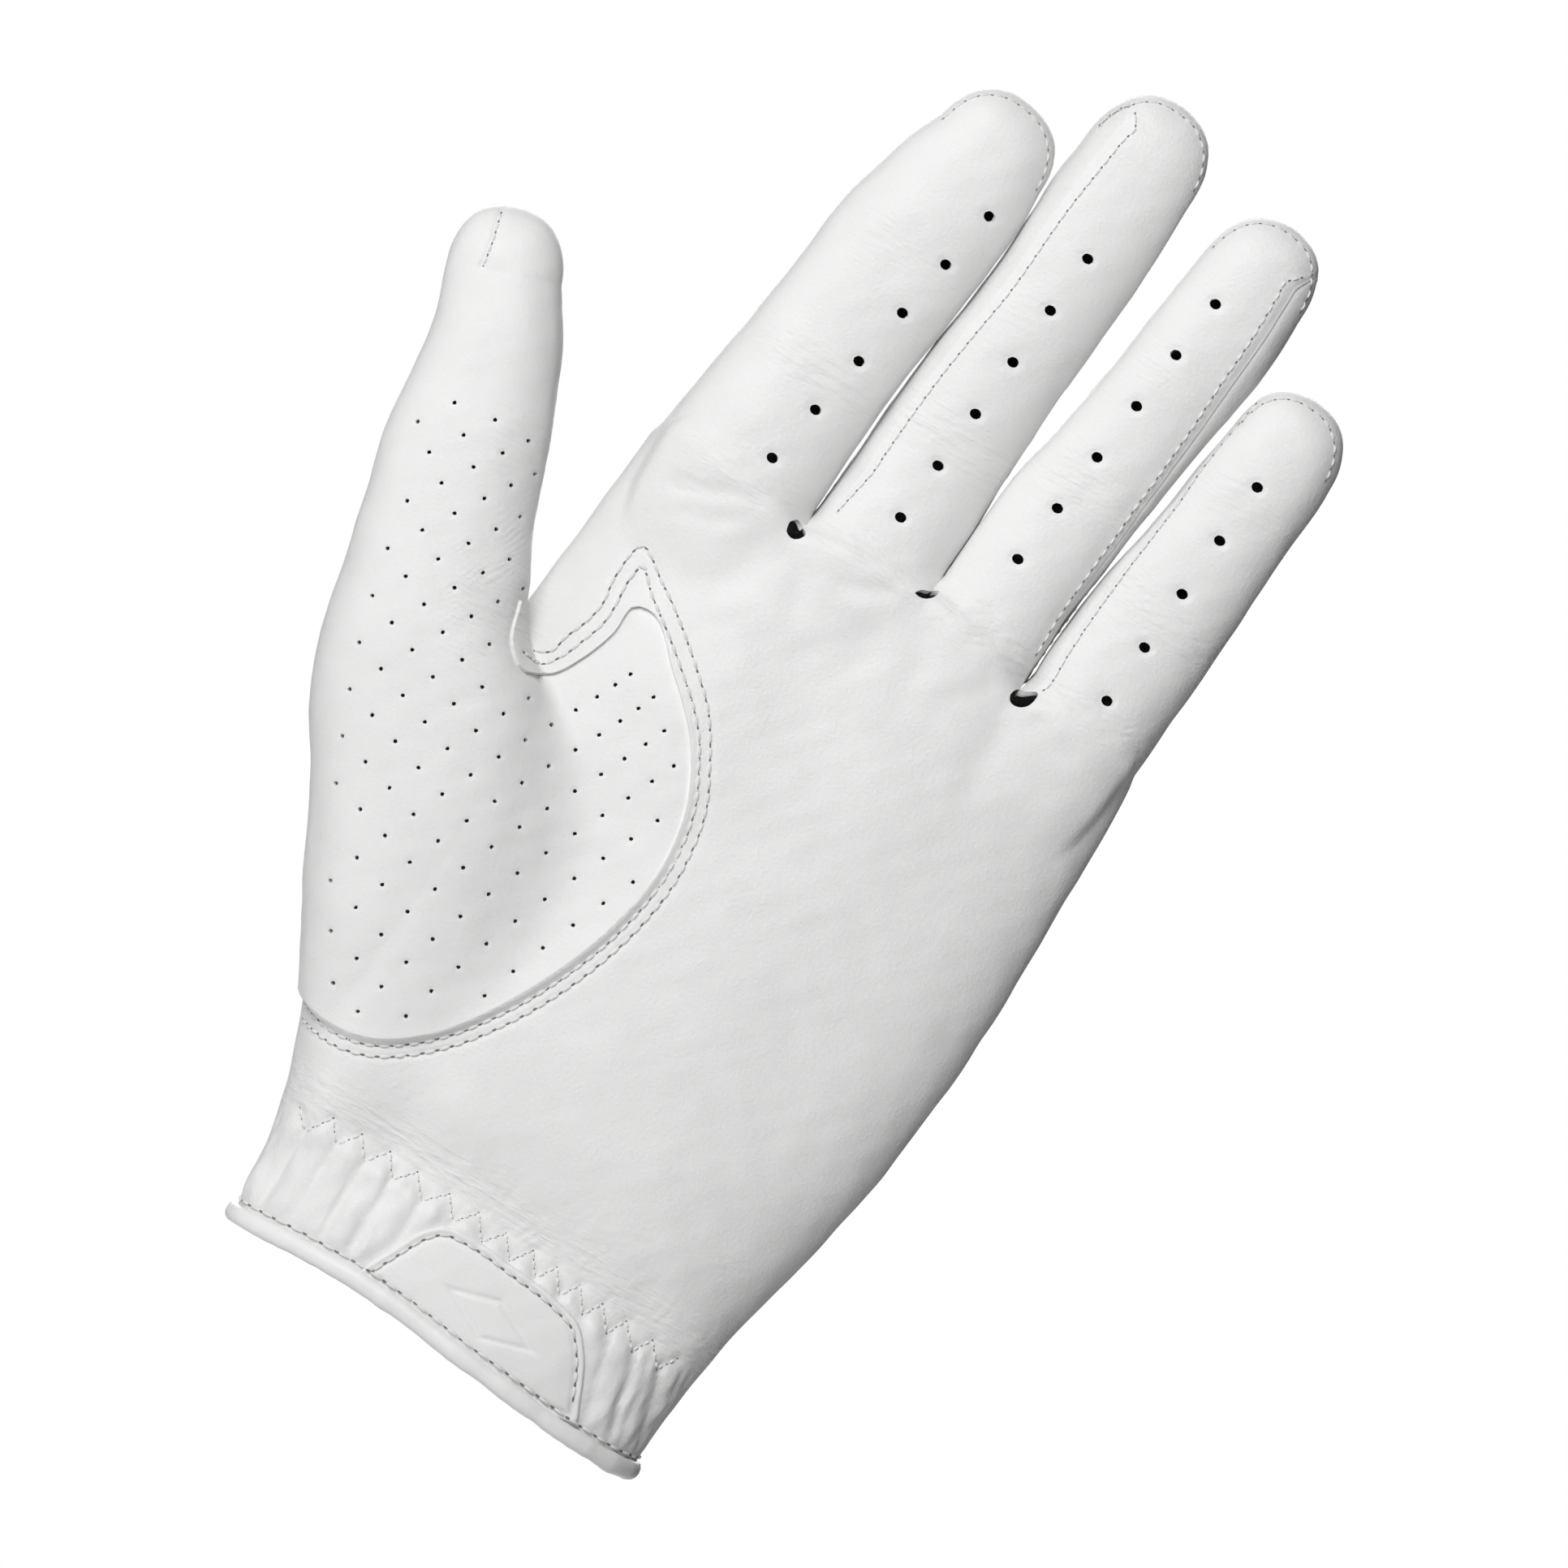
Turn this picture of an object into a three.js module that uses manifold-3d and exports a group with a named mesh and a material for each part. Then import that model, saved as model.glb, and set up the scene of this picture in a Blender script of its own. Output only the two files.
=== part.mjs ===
// Left-hand golf glove, filled out as it is on a hand.
// Millimetres. +Z runs up the fingers, the palm faces -Y, the thumb is on the -X side.
// The origin is the middle of the hand opening at the cuff.
import * as THREE from 'three';
import { mergeVertices } from 'three/addons/utils/BufferGeometryUtils.js';
import Module from 'manifold-3d';

const wasm = await Module();
wasm.setup();

// ---------------------------------------------------------------- driving dimensions

const GAP = 0.3;             // clearance between neighbouring pieces
const LEATHER = 1.0;         // wall of a leather panel, with its seam allowance
const SQUARENESS = 2.4;      // exponent of the super-ellipse sections: 2 is an ellipse
const RING_STEPS = 24;       // facets round the hand
const STALL_STEPS = 16;      // facets round a finger
const FAR = 200;             // reach of a cutting box
const LAP = 0.05;            // how far two joined cutting boxes reach into each other

// Hand: left and right edge, palm face and back face at each height.
const HAND = [
  { z: -8, left: -37.0, right: 34.8, front: -16.5, back: 16.5 },
  { z: 20, left: -39.2, right: 37.8, front: -16.0, back: 16.0 },
  { z: 36, left: -43.5, right: 41.8, front: -15.8, back: 15.4 },
  { z: 55, left: -46.5, right: 45.6, front: -15.4, back: 14.8 },
  { z: 75, left: -47.0, right: 48.4, front: -14.8, back: 14.2 },
  { z: 100, left: -45.4, right: 49.0, front: -13.8, back: 13.4 },
  { z: 120, left: -43.0, right: 49.0, front: -12.2, back: 12.0 },
  { z: 144, left: -40.4, right: 49.2, front: -10.0, back: 9.6 },
];

// The cuff's edge is cut a little low on the little-finger side.
const CUFF_HEIGHT = 1.4;
const CUFF_SLOPE = -0.045;
const BINDING_RADIUS = 1.5;

// Ball of the thumb, along the thumb's own axis, down into the palm.
const THUMB_ROOT = [
  { z: -70, left: -4.0, right: 12.0, front: -13.0, back: 9.0 },
  { z: -62, left: -7.6, right: 18.0, front: -16.0, back: 11.0 },
  { z: -45, left: -10.4, right: 24.0, front: -19.0, back: 11.0 },
  { z: -22, left: -15.4, right: 24.0, front: -21.0, back: 8.0 },
  { z: -8, left: -15.0, right: 17.0, front: -21.0, back: 4.0 },
  { z: 6, left: -13.8, right: 13.4, front: -20.0, back: 0.0 },
];

// Stalls: where each one starts, how it leans in the plane of the palm, its width at the base,
// at the middle joint and below the tip, its depth, and the height of its middle joint.
// webs lists the sides that face another finger and so carry a fourchette.
const STALLS = {
  index: {
    x: -27.5, y: -0.5, z: 136.5, lean: 8.5, length: 72.5, bend: 20.5, sway: -1.4,
    widths: [25.4, 25.4, 20.8], depths: [17.0, 16.4, 13.4], webs: ['right'],
    vents: { x: 3.4, z: 6.0, pitch: 9.84, drift: 0.6, count: 6 },
  },
  middle: {
    x: -2.4, y: -0.5, z: 135.0, lean: 4.5, length: 85.0, bend: 23.6, sway: -0.5,
    widths: [20.6, 20.4, 19.8], depths: [17.2, 16.6, 13.6], webs: ['left', 'right'],
    vents: { x: -0.2, z: 8.9, pitch: 9.68, drift: 0.24, count: 6 },
  },
  ring: {
    x: 17.8, y: -0.5, z: 134.5, lean: 7.5, length: 77.9, bend: 27.0, sway: -0.8,
    widths: [18.2, 19.4, 18.2], depths: [16.8, 16.2, 13.2], webs: ['left', 'right'],
    vents: { x: -2.8, z: 12.5, pitch: 9.8, drift: 0.04, count: 6 },
  },
  little: {
    x: 38.3, y: -0.5, z: 131.0, lean: 5.6, length: 59.7, bend: 19.2, sway: -0.2,
    widths: [20.4, 20.2, 16.8], depths: [16.0, 15.4, 12.4], webs: ['left'],
    vents: { x: 0.4, z: 4.5, pitch: 9.9, drift: -0.08, count: 5 },
  },
};
const THUMB = {
  x: -58.0, y: -10.2, z: 100.0, lean: -18.0, length: 58.0, bend: 38.0, sway: 1.2,
  widths: [26.6, 19.6, 17.4], depths: [19.6, 17.6, 14.4], webs: [],
};
const TIP_HEIGHT = 10.5;     // height of a stall's domed tip
const FOURCHETTE_HALF = 3.4; // half the width of a fourchette
const VENT_RADIUS = 1.05;

// Outline of the perforated thumb panel on the palm, seen from the palm side.
const THUMB_PANEL = [
  [-90, 60], [-60, 34], [-43, 34.5], [-35.5, 33.2], [-29.7, 35.6], [-24, 40.2], [-17.4, 48.6],
  [-11.9, 58.8], [-8.2, 69.2], [-6.8, 79.2], [-8, 89.4], [-12.4, 98.4], [-20, 106.4],
  [-29.6, 112.9], [-30.6, 107], [-33, 101], [-36.5, 96.2], [-40, 95], [-52, 95], [-56, 104], [-90, 118],
];
// Its two rows of stitching run beside the outline, from its first to its last of these points.
const THUMB_SEAM = { first: 3, last: 13, rows: { inner: 1.4, outer: 3.1 } };

// Back opening and its closure tab, seen from the palm side.
const SLIT = { x: -1.0, halfWidth: 6.5, top: 56.0 };
const TAB = { hinge: 16.0, end: -25.0, low: 9.0, high: 39.0, corner: 7.0 };
const LAYERS = {             // height of each layer's underside over the back leather, and thickness
  loopPatch: [0.3, 0.8], hookPatch: [1.4, 0.8], tabLining: [2.5, 0.6], tabLeather: [3.4, 0.8],
};

// Wrist details on the palm side.
const ELASTIC = { low: 7.5, high: 19.0, halfWidth: 31.0 };
const ZIGZAG = { height: 19.6, swing: 1.5, pitch: 4.6, left: -32.0, right: 28.0 };
const HEEL_PATCH = [[-15.4, 4.4], [-9.6, 14.8], [-6.6, 16.6], [4, 16.2], [14, 15], [18, 12.6], [23.6, 1.8]];
const THREAD_RADIUS = 0.35;

// ---------------------------------------------------------------- materials

const leather = new THREE.MeshStandardMaterial({ color: 0xe9e9e7, roughness: 0.55, metalness: 0 });
const perforated = new THREE.MeshStandardMaterial({ color: 0xececea, roughness: 0.58, metalness: 0 });
const fourchette = new THREE.MeshStandardMaterial({ color: 0xdedede, roughness: 0.65, metalness: 0 });
const thread = new THREE.MeshStandardMaterial({ color: 0xe4e4e2, roughness: 0.8, metalness: 0 });
const elastic = new THREE.MeshStandardMaterial({ color: 0xd6d6d4, roughness: 0.9, metalness: 0 });
const binding = new THREE.MeshStandardMaterial({ color: 0xe6e6e4, roughness: 0.5, metalness: 0 });
const hookLoop = new THREE.MeshStandardMaterial({ color: 0xe0e0de, roughness: 0.95, metalness: 0 });

// ---------------------------------------------------------------- solids

// A closed solid through super-ellipse sections.
function loft(sections, steps) {
  const positions = [];
  const indices = [];
  for (const section of sections) {
    const centreX = (section.left + section.right) / 2;
    const centreY = (section.front + section.back) / 2;
    for (let i = 0; i < steps; i++) {
      const angle = (i / steps) * 2 * Math.PI;
      const across = Math.cos(angle);
      const deep = Math.sin(angle);
      const x = Math.sign(across) * Math.abs(across) ** (2 / SQUARENESS) * (section.right - centreX);
      const y = Math.sign(deep) * Math.abs(deep) ** (2 / SQUARENESS) * (section.back - centreY);
      positions.push(centreX + x, centreY + y, section.z);
    }
  }
  for (let ring = 0; ring < sections.length - 1; ring++) {
    for (let i = 0; i < steps; i++) {
      const a = ring * steps + i;
      const b = ring * steps + ((i + 1) % steps);
      indices.push(a, b, b + steps, a, b + steps, a + steps);
    }
  }
  const last = (sections.length - 1) * steps;
  for (let i = 1; i < steps - 1; i++) {
    indices.push(0, i + 1, i);
    indices.push(last, last + i, last + i + 1);
  }
  const geometry = new THREE.BufferGeometry();
  geometry.setAttribute('position', new THREE.Float32BufferAttribute(positions, 3));
  geometry.setIndex(indices);
  return geometry;
}

function toSolid(geometry, matrix = new THREE.Matrix4()) {
  const plain = geometry.clone();
  plain.deleteAttribute('normal');
  plain.deleteAttribute('uv');
  plain.applyMatrix4(matrix);
  const merged = mergeVertices(plain, 1e-4);
  return new wasm.Manifold(new wasm.Mesh({
    numProp: 3,
    vertProperties: new Float32Array(merged.attributes.position.array),
    triVerts: new Uint32Array(merged.index.array),
  }));
}

function fromSolid(solid) {
  const mesh = solid.getMesh();
  const geometry = new THREE.BufferGeometry();
  geometry.setAttribute('position', new THREE.BufferAttribute(mesh.vertProperties, 3));
  geometry.setIndex(new THREE.BufferAttribute(mesh.triVerts, 1));
  return geometry;
}

// A box between two corners.
function block(low, high, matrix) {
  const geometry = new THREE.BoxGeometry(high[0] - low[0], high[1] - low[1], high[2] - low[2]);
  geometry.translate((low[0] + high[0]) / 2, (low[1] + high[1]) / 2, (low[2] + high[2]) / 2);
  return toSolid(geometry, matrix);
}

// An outline in X and Z, pushed through from y = from to y = to.
function prism(outline, from, to) {
  const shape = new THREE.Shape(outline.map(([x, z]) => new THREE.Vector2(x, z)));
  const geometry = new THREE.ExtrudeGeometry(shape, { depth: to - from, bevelEnabled: false });
  geometry.rotateX(Math.PI / 2);
  geometry.translate(0, to, 0);
  return toSolid(geometry);
}

// A round tube along a curve.
function roundSection(radius, sides) {
  const section = new THREE.Shape();
  section.absarc(0, 0, radius, 0, 2 * Math.PI, false);
  return new THREE.Shape(section.getSpacedPoints(sides).slice(0, sides));
}

function tube(curve, radius, sides, steps) {
  return new THREE.ExtrudeGeometry(roundSection(radius, sides), {
    steps, extrudePath: curve, bevelEnabled: false,
  });
}

// The outline grown outwards by a distance, corner by corner.
function grow(outline, distance) {
  const count = outline.length;
  const turn = Math.sign(THREE.ShapeUtils.area(outline.map(([x, z]) => ({ x, y: z }))));
  return outline.map((point, i) => {
    const before = new THREE.Vector2(...outline[(i + count - 1) % count]);
    const after = new THREE.Vector2(...outline[(i + 1) % count]);
    const here = new THREE.Vector2(...point);
    const along = after.sub(before).normalize();
    return [here.x + turn * distance * along.y, here.y - turn * distance * along.x];
  });
}

// ---------------------------------------------------------------- the hand's and the stalls' forms

const inset = (sections, amount) => sections.map((s) => ({
  z: s.z,
  left: s.left + amount,
  right: s.right - amount,
  front: s.front + amount,
  back: s.back - amount,
}));

// A frame at the foot of a stall: X across it, Z up it.
function stallFrame(stall) {
  const turn = new THREE.Matrix4().makeRotationY(THREE.MathUtils.degToRad(stall.lean));
  return turn.setPosition(stall.x, stall.y, stall.z);
}

// Sections of a stall in its own frame, made smaller all round by amount.
function stallSections(stall, amount) {
  const shoulder = stall.length - TIP_HEIGHT;
  const heights = [0, stall.bend, shoulder];
  const swayAt = [0, stall.sway, 0];
  const straight = heights.map((z, i) => ({
    z,
    centre: swayAt[i],
    width: stall.widths[i] - 2 * amount,
    depth: stall.depths[i] - 2 * amount,
  }));
  const foot = { ...straight[0], z: -4 };
  const dome = [28, 50, 68, 81].map((degrees) => {
    const angle = THREE.MathUtils.degToRad(degrees);
    return {
      z: shoulder + (TIP_HEIGHT - amount) * Math.sin(angle),
      centre: 0,
      width: straight[2].width * Math.cos(angle),
      depth: straight[2].depth * Math.cos(angle),
    };
  });
  return [foot, ...straight, ...dome].map(({ z, centre, width, depth }) => ({
    z,
    left: centre - width / 2,
    right: centre + width / 2,
    front: -depth / 2,
    back: depth / 2,
  }));
}

// How far the hand's face lies from y = 0 at a point, front side (-1) or back side (+1).
function handFace(x, z, side) {
  const upper = Math.max(1, HAND.findIndex((s) => s.z >= z));
  const [a, b] = [HAND[upper - 1], HAND[upper]];
  const t = (z - a.z) / (b.z - a.z);
  const at = (key) => THREE.MathUtils.lerp(a[key], b[key], t);
  const centreX = (at('left') + at('right')) / 2;
  const centreY = (at('front') + at('back')) / 2;
  const u = Math.min(0.999, Math.abs(x - centreX) / (at('right') - centreX));
  const height = (1 - u ** SQUARENESS) ** (1 / SQUARENESS);
  return centreY + side * height * (at('back') - centreY);
}

// The same for the ball of the thumb, whose sections stand in the thumb's frame.
const thumbFrame = stallFrame(THUMB);
function thumbFace(x, z) {
  const local = new THREE.Vector3(x, THUMB.y, z).applyMatrix4(thumbFrame.clone().invert());
  const upper = THUMB_ROOT.findIndex((s) => s.z >= local.z);
  if (upper < 1) {
    return Infinity;
  }
  const [a, b] = [THUMB_ROOT[upper - 1], THUMB_ROOT[upper]];
  const t = (local.z - a.z) / (b.z - a.z);
  const at = (key) => THREE.MathUtils.lerp(a[key], b[key], t);
  const centreX = (at('left') + at('right')) / 2;
  const u = Math.abs(local.x - centreX) / (at('right') - centreX);
  if (u >= 1) {
    return Infinity;
  }
  const centreY = (at('front') + at('back')) / 2;
  return centreY + (1 - u ** SQUARENESS) ** (1 / SQUARENESS) * (at('front') - centreY);
}

const palmFace = (x, z) => Math.min(handFace(x, z, -1), thumbFace(x, z));

// Solid of the hand with the ball of the thumb, grown (negative amount) or shrunk all round.
// The thumb root's sections are written about y = 0, not about the stall's middle.
function handSolid(amount, spare = 0) {
  const sections = inset(HAND, amount);
  sections[0].z -= spare;
  sections[sections.length - 1].z += spare;
  return toSolid(loft(sections, RING_STEPS));
}

function thumbRootSolid(amount) {
  const matrix = thumbFrame.clone().setPosition(THUMB.x, 0, THUMB.z);
  return toSolid(loft(inset(THUMB_ROOT, amount), RING_STEPS), matrix);
}

// A sheet that lies over the hand's back or palm face, from one height over it to another.
function overlay(low, thickness, outline, side) {
  const sheet = handSolid(-low - thickness).subtract(handSolid(-low, 1));
  const reach = side < 0 ? [-FAR, -1] : [1, FAR];
  return sheet.intersect(prism(outline, ...reach));
}

// A thread that follows a row of points over the palm face (side -1) or the back face (side 1).
function threadAlong(points, lift, steps, side = -1) {
  const row = new THREE.CatmullRomCurve3(
    points.map(([x, z]) => new THREE.Vector3(x, 0, z)), false, 'centripetal');
  const path = row.getSpacedPoints(steps);
  for (const point of path) {
    const face = side < 0 ? palmFace(point.x, point.z) : handFace(point.x, point.z, side);
    point.y = face + side * lift;
  }
  return tube(new THREE.CatmullRomCurve3(path, false, 'centripetal'), THREAD_RADIUS, 4, steps);
}

// ---------------------------------------------------------------- assembly

const glove = new THREE.Group();

function addSolid(name, solid, material, parent = glove) {
  const mesh = new THREE.Mesh(fromSolid(solid), material);
  mesh.name = name;
  parent.add(mesh);
}

function addGeometry(name, geometry, material, parent = glove) {
  const mesh = new THREE.Mesh(geometry, material);
  mesh.name = name;
  parent.add(mesh);
}

// Everything above the foot of each finger, everything past the thumb's foot, below the cuff.
function openEnds() {
  const reach = { index: [-40, 14.2], middle: [-11.4, 11.0], ring: [-10.4, 10.4], little: [-11.2, 40] };
  let cut = block([-FAR, -FAR, -FAR], [FAR, FAR, 0], new THREE.Matrix4().makeRotationY(
    -Math.atan(CUFF_SLOPE)).setPosition(0, 0, CUFF_HEIGHT));
  for (const [name, stall] of Object.entries(STALLS)) {
    const [left, right] = reach[name];
    const frame = stallFrame(stall);
    cut = cut.add(block([left, -50, -GAP / 2], [right, 50, 60], frame));
  }
  return cut.add(block([-30, -50, -GAP / 2], [13.6, 50, 40], thumbFrame));
}

// The back opening: a narrow wedge that ends in a point.
function slitOutline(margin) {
  const half = SLIT.halfWidth + margin;
  return [
    [SLIT.x - half, -20], [SLIT.x + half, -20], [SLIT.x + half, 0],
    [SLIT.x + 1 + margin, SLIT.top], [SLIT.x - 1 - margin, SLIT.top], [SLIT.x - half, 0],
  ];
}

function addHand() {
  const outside = handSolid(0).add(thumbRootSolid(0));
  const inside = handSolid(LEATHER, 1).add(thumbRootSolid(LEATHER));
  const shell = outside.subtract(inside).subtract(openEnds());
  const front = shell.intersect(block([-FAR, -FAR, -FAR], [FAR, -GAP / 2, FAR]));
  const back = shell.intersect(block([-FAR, GAP / 2, -FAR], [FAR, FAR, FAR]));
  const panel = prism(THUMB_PANEL, -FAR, 0);
  const hole = prism(grow(THUMB_PANEL, 2 * GAP), -FAR, 0);
  addSolid('palm_leather', front.subtract(hole), leather);
  addSolid('thumb_panel', front.intersect(panel), perforated);
  addSolid('back_leather', back.subtract(prism(slitOutline(1.1), 0, FAR)), leather);
}

function addWrist() {
  const { low, high, halfWidth } = ELASTIC;
  const band = handSolid(LEATHER + GAP).subtract(handSolid(LEATHER + GAP + 0.8, 1));
  const reach = block([-halfWidth, -FAR, low], [halfWidth, -2, high]);
  addSolid('wrist_elastic', band.intersect(reach), elastic);

  const knuckles = block([-36, 2, 106], [42, FAR, 114]);
  addSolid('knuckle_elastic', band.intersect(knuckles), elastic);

  const label = block([18, 2, 16], [30, FAR, 34]);
  addSolid('size_label', band.intersect(label), thread);

  addSolid('heel_patch', overlay(GAP, 0.8, HEEL_PATCH, -1), leather);
}

// Round the cuff, from one side of the back opening to the other.
function cuffPath(height, outset) {
  const points = [];
  const start = Math.PI / 2 + 0.26;
  const sweep = 2 * Math.PI - 0.52;
  const section = HAND[0];
  const count = 30;
  for (let i = 0; i <= count; i++) {
    const angle = start + (i / count) * sweep;
    const across = Math.cos(angle);
    const deep = Math.sin(angle);
    const halfWidth = (section.right - section.left) / 2 + outset;
    const x = (section.left + section.right) / 2
      + Math.sign(across) * Math.abs(across) ** (2 / SQUARENESS) * halfWidth;
    const y = Math.sign(deep) * Math.abs(deep) ** (2 / SQUARENESS) * (section.back + outset);
    points.push(new THREE.Vector3(x, y, CUFF_HEIGHT + CUFF_SLOPE * x + height));
  }
  return new THREE.CatmullRomCurve3(points);
}

function addBindings() {
  const cuff = cuffPath(-BINDING_RADIUS - GAP, -LEATHER / 2);
  addGeometry('cuff_binding', tube(cuff, BINDING_RADIUS, 6, 44), binding);

  const half = SLIT.halfWidth;
  const rim = [[SLIT.x - half, 3.4], [SLIT.x - half * 0.6, 22], [SLIT.x - 1.9, 46], [SLIT.x, 53.6],
    [SLIT.x + 1.9, 46], [SLIT.x + half * 0.6, 22], [SLIT.x + half, 3.4]];
  const points = rim.map(([x, z]) => new THREE.Vector3(x, handFace(x, z, 1) - LEATHER / 2, z));
  addGeometry('slit_binding', tube(new THREE.CatmullRomCurve3(points), 0.6, 5, 24), binding);
}

// Rows of stitching that lie on the palm leather.
function addThreads() {
  const { first, last } = THUMB_SEAM;
  for (const [name, distance] of Object.entries(THUMB_SEAM.rows)) {
    const row = grow(THUMB_PANEL, distance).slice(first, last + 1);
    addGeometry(`thumb_seam_thread_${name}`, threadAlong(row, 0.7, 28), thread);
  }

  const zigzag = [];
  const { left, right, pitch, height, swing } = ZIGZAG;
  const turns = Math.round((2 * (right - left)) / pitch);
  for (let i = 0; i <= turns; i++) {
    const x = left + (i * pitch) / 2;
    const slope = CUFF_SLOPE * (x + 10);
    zigzag.push([x, height + slope + (i % 2 ? swing : -swing)]);
  }
  addGeometry('wrist_zigzag_thread', threadAlong(zigzag, 0.8, turns * 2), thread);

  const patchRow = grow(HEEL_PATCH, -1.4);
  addGeometry('heel_patch_thread', threadAlong(patchRow, 1.9, 20), thread);
}

// The loop patch on the back, and the tab that closes over it.
function tabOutline(margin) {
  const { hinge, end, low, high, corner } = TAB;
  const outline = [[hinge - margin, low + margin], [hinge - margin, high - margin]];
  for (let i = 0; i <= 4; i++) {
    const angle = Math.PI / 2 + (i / 4) * (Math.PI / 2);
    outline.push([end + corner + (corner - margin) * Math.cos(angle),
      high - corner + (corner - margin) * Math.sin(angle)]);
  }
  for (let i = 0; i <= 4; i++) {
    const angle = Math.PI + (i / 4) * (Math.PI / 2);
    outline.push([end + corner + (corner - margin) * Math.cos(angle),
      low + corner + (corner - margin) * Math.sin(angle)]);
  }
  return outline;
}

function addClosure() {
  const loopOutline = [[-11, 11.5], [-11, 36.5], [-29, 36.5], [-29, 11.5]];
  const hookOutline = [[-9.6, 12.5], [-9.6, 35.5], [-21.5, 35.5], [-21.5, 12.5]];
  addSolid('loop_patch', overlay(...LAYERS.loopPatch, loopOutline, 1), hookLoop);
  addSolid('tab_hook_patch', overlay(...LAYERS.hookPatch, hookOutline, 1), hookLoop);
  addSolid('tab_lining', overlay(...LAYERS.tabLining, tabOutline(1), 1), fourchette);
  addSolid('tab_leather', overlay(...LAYERS.tabLeather, tabOutline(0), 1), leather);

  const row = tabOutline(2).slice(1, -1);
  row.push([TAB.hinge - 2, TAB.low + 2]);
  const lift = LAYERS.tabLeather[0] + LAYERS.tabLeather[1] + 0.7;
  addGeometry('tab_thread', threadAlong(row, lift, 24, 1), thread);
}

// One finger: front and back leather with the fourchettes between them, cut at the middle joint.
function addStall(name, stall, cuts, frontMaterial) {
  const group = new THREE.Group();
  group.applyMatrix4(stallFrame(stall));
  glove.add(group);

  const inside = stallSections(stall, LEATHER);
  inside[0].z -= 1;
  let shell = toSolid(loft(stallSections(stall, 0), STALL_STEPS)).subtract(
    toSolid(loft(inside, STALL_STEPS)));
  if (stall.vents) {
    const { x, z, pitch, drift, count } = stall.vents;
    for (let i = 0; i < count; i++) {
      const drill = new THREE.CylinderGeometry(VENT_RADIUS, VENT_RADIUS, 20, 8);
      drill.translate(x + drift * i, -10, z + pitch * i);
      shell = shell.subtract(toSolid(drill));
    }
  }

  // The front and back leather reach round to the fourchettes, or to the fold where there is none.
  const limit = (side) => (stall.webs.includes(side) ? FOURCHETTE_HALF : 0) + GAP / 2;
  const half = (sign) => {
    const edge = (side) => (sign < 0 ? [-50, -limit(side)] : [limit(side), 50]);
    const [leftLow, leftHigh] = edge('left');
    const [rightLow, rightHigh] = edge('right');
    return block([-50, leftLow, -50], [LAP, leftHigh, 120]).add(
      block([-LAP, rightLow, -50], [50, rightHigh, 120]));
  };
  const strips = { front: half(-1), back: half(1) };
  for (const side of stall.webs) {
    const [low, high] = side === 'left' ? [-50, -GAP - LAP] : [GAP + LAP, 50];
    const edge = FOURCHETTE_HALF - GAP / 2;
    strips[`fourchette_${side}`] = block([low, -edge, -50], [high, edge, 120]);
  }

  for (const [part, low, high] of cuts) {
    const slice = block([-50, -50, low + GAP / 2], [50, 50, high - GAP / 2]);
    for (const [strip, region] of Object.entries(strips)) {
      const solid = shell.intersect(region).intersect(slice);
      const material = strip.startsWith('fourchette') ? fourchette
        : strip === 'front' ? frontMaterial : leather;
      addSolid([name, part, strip].filter(Boolean).join('_'), solid, material, group);
    }
  }
}

addHand();
addWrist();
addBindings();
addThreads();
addClosure();
for (const [name, stall] of Object.entries(STALLS)) {
  addStall(name, stall, [['base', 0, stall.bend], ['tip', stall.bend, 120]], leather);
}
addStall('thumb', THUMB, [['', 0, 120]], perforated);

export default glove;
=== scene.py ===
"""A left-hand golf glove, filled out as it is on a hand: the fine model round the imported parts.

Shapes are worked out in millimetres and scaled to metres when a piece is made.
+Z runs up the fingers, the palm faces -Y and the thumb is on the -X side.
"""
import math

import bpy
import numpy as np
from mathutils import Matrix, Vector


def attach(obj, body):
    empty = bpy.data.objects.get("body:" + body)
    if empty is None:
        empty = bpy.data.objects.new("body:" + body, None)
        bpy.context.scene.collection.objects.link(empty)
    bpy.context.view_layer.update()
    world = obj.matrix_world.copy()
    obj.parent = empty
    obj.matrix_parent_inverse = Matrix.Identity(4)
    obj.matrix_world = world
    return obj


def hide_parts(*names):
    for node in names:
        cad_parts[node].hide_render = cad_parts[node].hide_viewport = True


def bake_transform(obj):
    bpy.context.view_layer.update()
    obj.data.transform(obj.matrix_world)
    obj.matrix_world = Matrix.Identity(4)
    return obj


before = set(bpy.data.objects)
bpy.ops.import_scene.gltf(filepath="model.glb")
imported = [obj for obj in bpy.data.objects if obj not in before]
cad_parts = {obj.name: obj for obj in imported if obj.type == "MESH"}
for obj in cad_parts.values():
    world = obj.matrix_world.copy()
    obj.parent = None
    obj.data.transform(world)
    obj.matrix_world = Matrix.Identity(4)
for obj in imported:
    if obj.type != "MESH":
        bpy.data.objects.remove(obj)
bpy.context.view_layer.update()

# ---------------------------------------------------------------- driving dimensions

MM = 0.001
COARSE = 1.0
HAND_STEP = 0.56 * COARSE      # grid of the hand's surface
STALL_STEP = 0.5 * COARSE      # grid of the fingers' and the thumb's surface
SHEET_STEP = 0.5 * COARSE      # grid of the patches and the tab
PATCH_STEP = 0.25 * COARSE     # grid of the heel patch
PANEL_STEP = 0.36 * COARSE     # grid of the thumb and its panel
BOXES = dict(                  # corners of the boxes in which the surfaces are sought
    hand=((-80, -26, -8), (53, 20, 141)), thumb_panel=((-77, -26, 30), (-4, 2.5, 118)),
    thumb=((-90, -26, 92), (-38, 6, 162)), finger=((-17, -12, -10), (17, 12, 2)))
SPARE = 1.5                    # how far a surface goes past its edges until the relief is on it
FAR_INSIDE = 30.0              # stands for "well clear" in a distance
LEATHER = 0.8                  # wall of the leather
SQUARENESS = 2.4               # exponent of the super-ellipse sections

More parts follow.
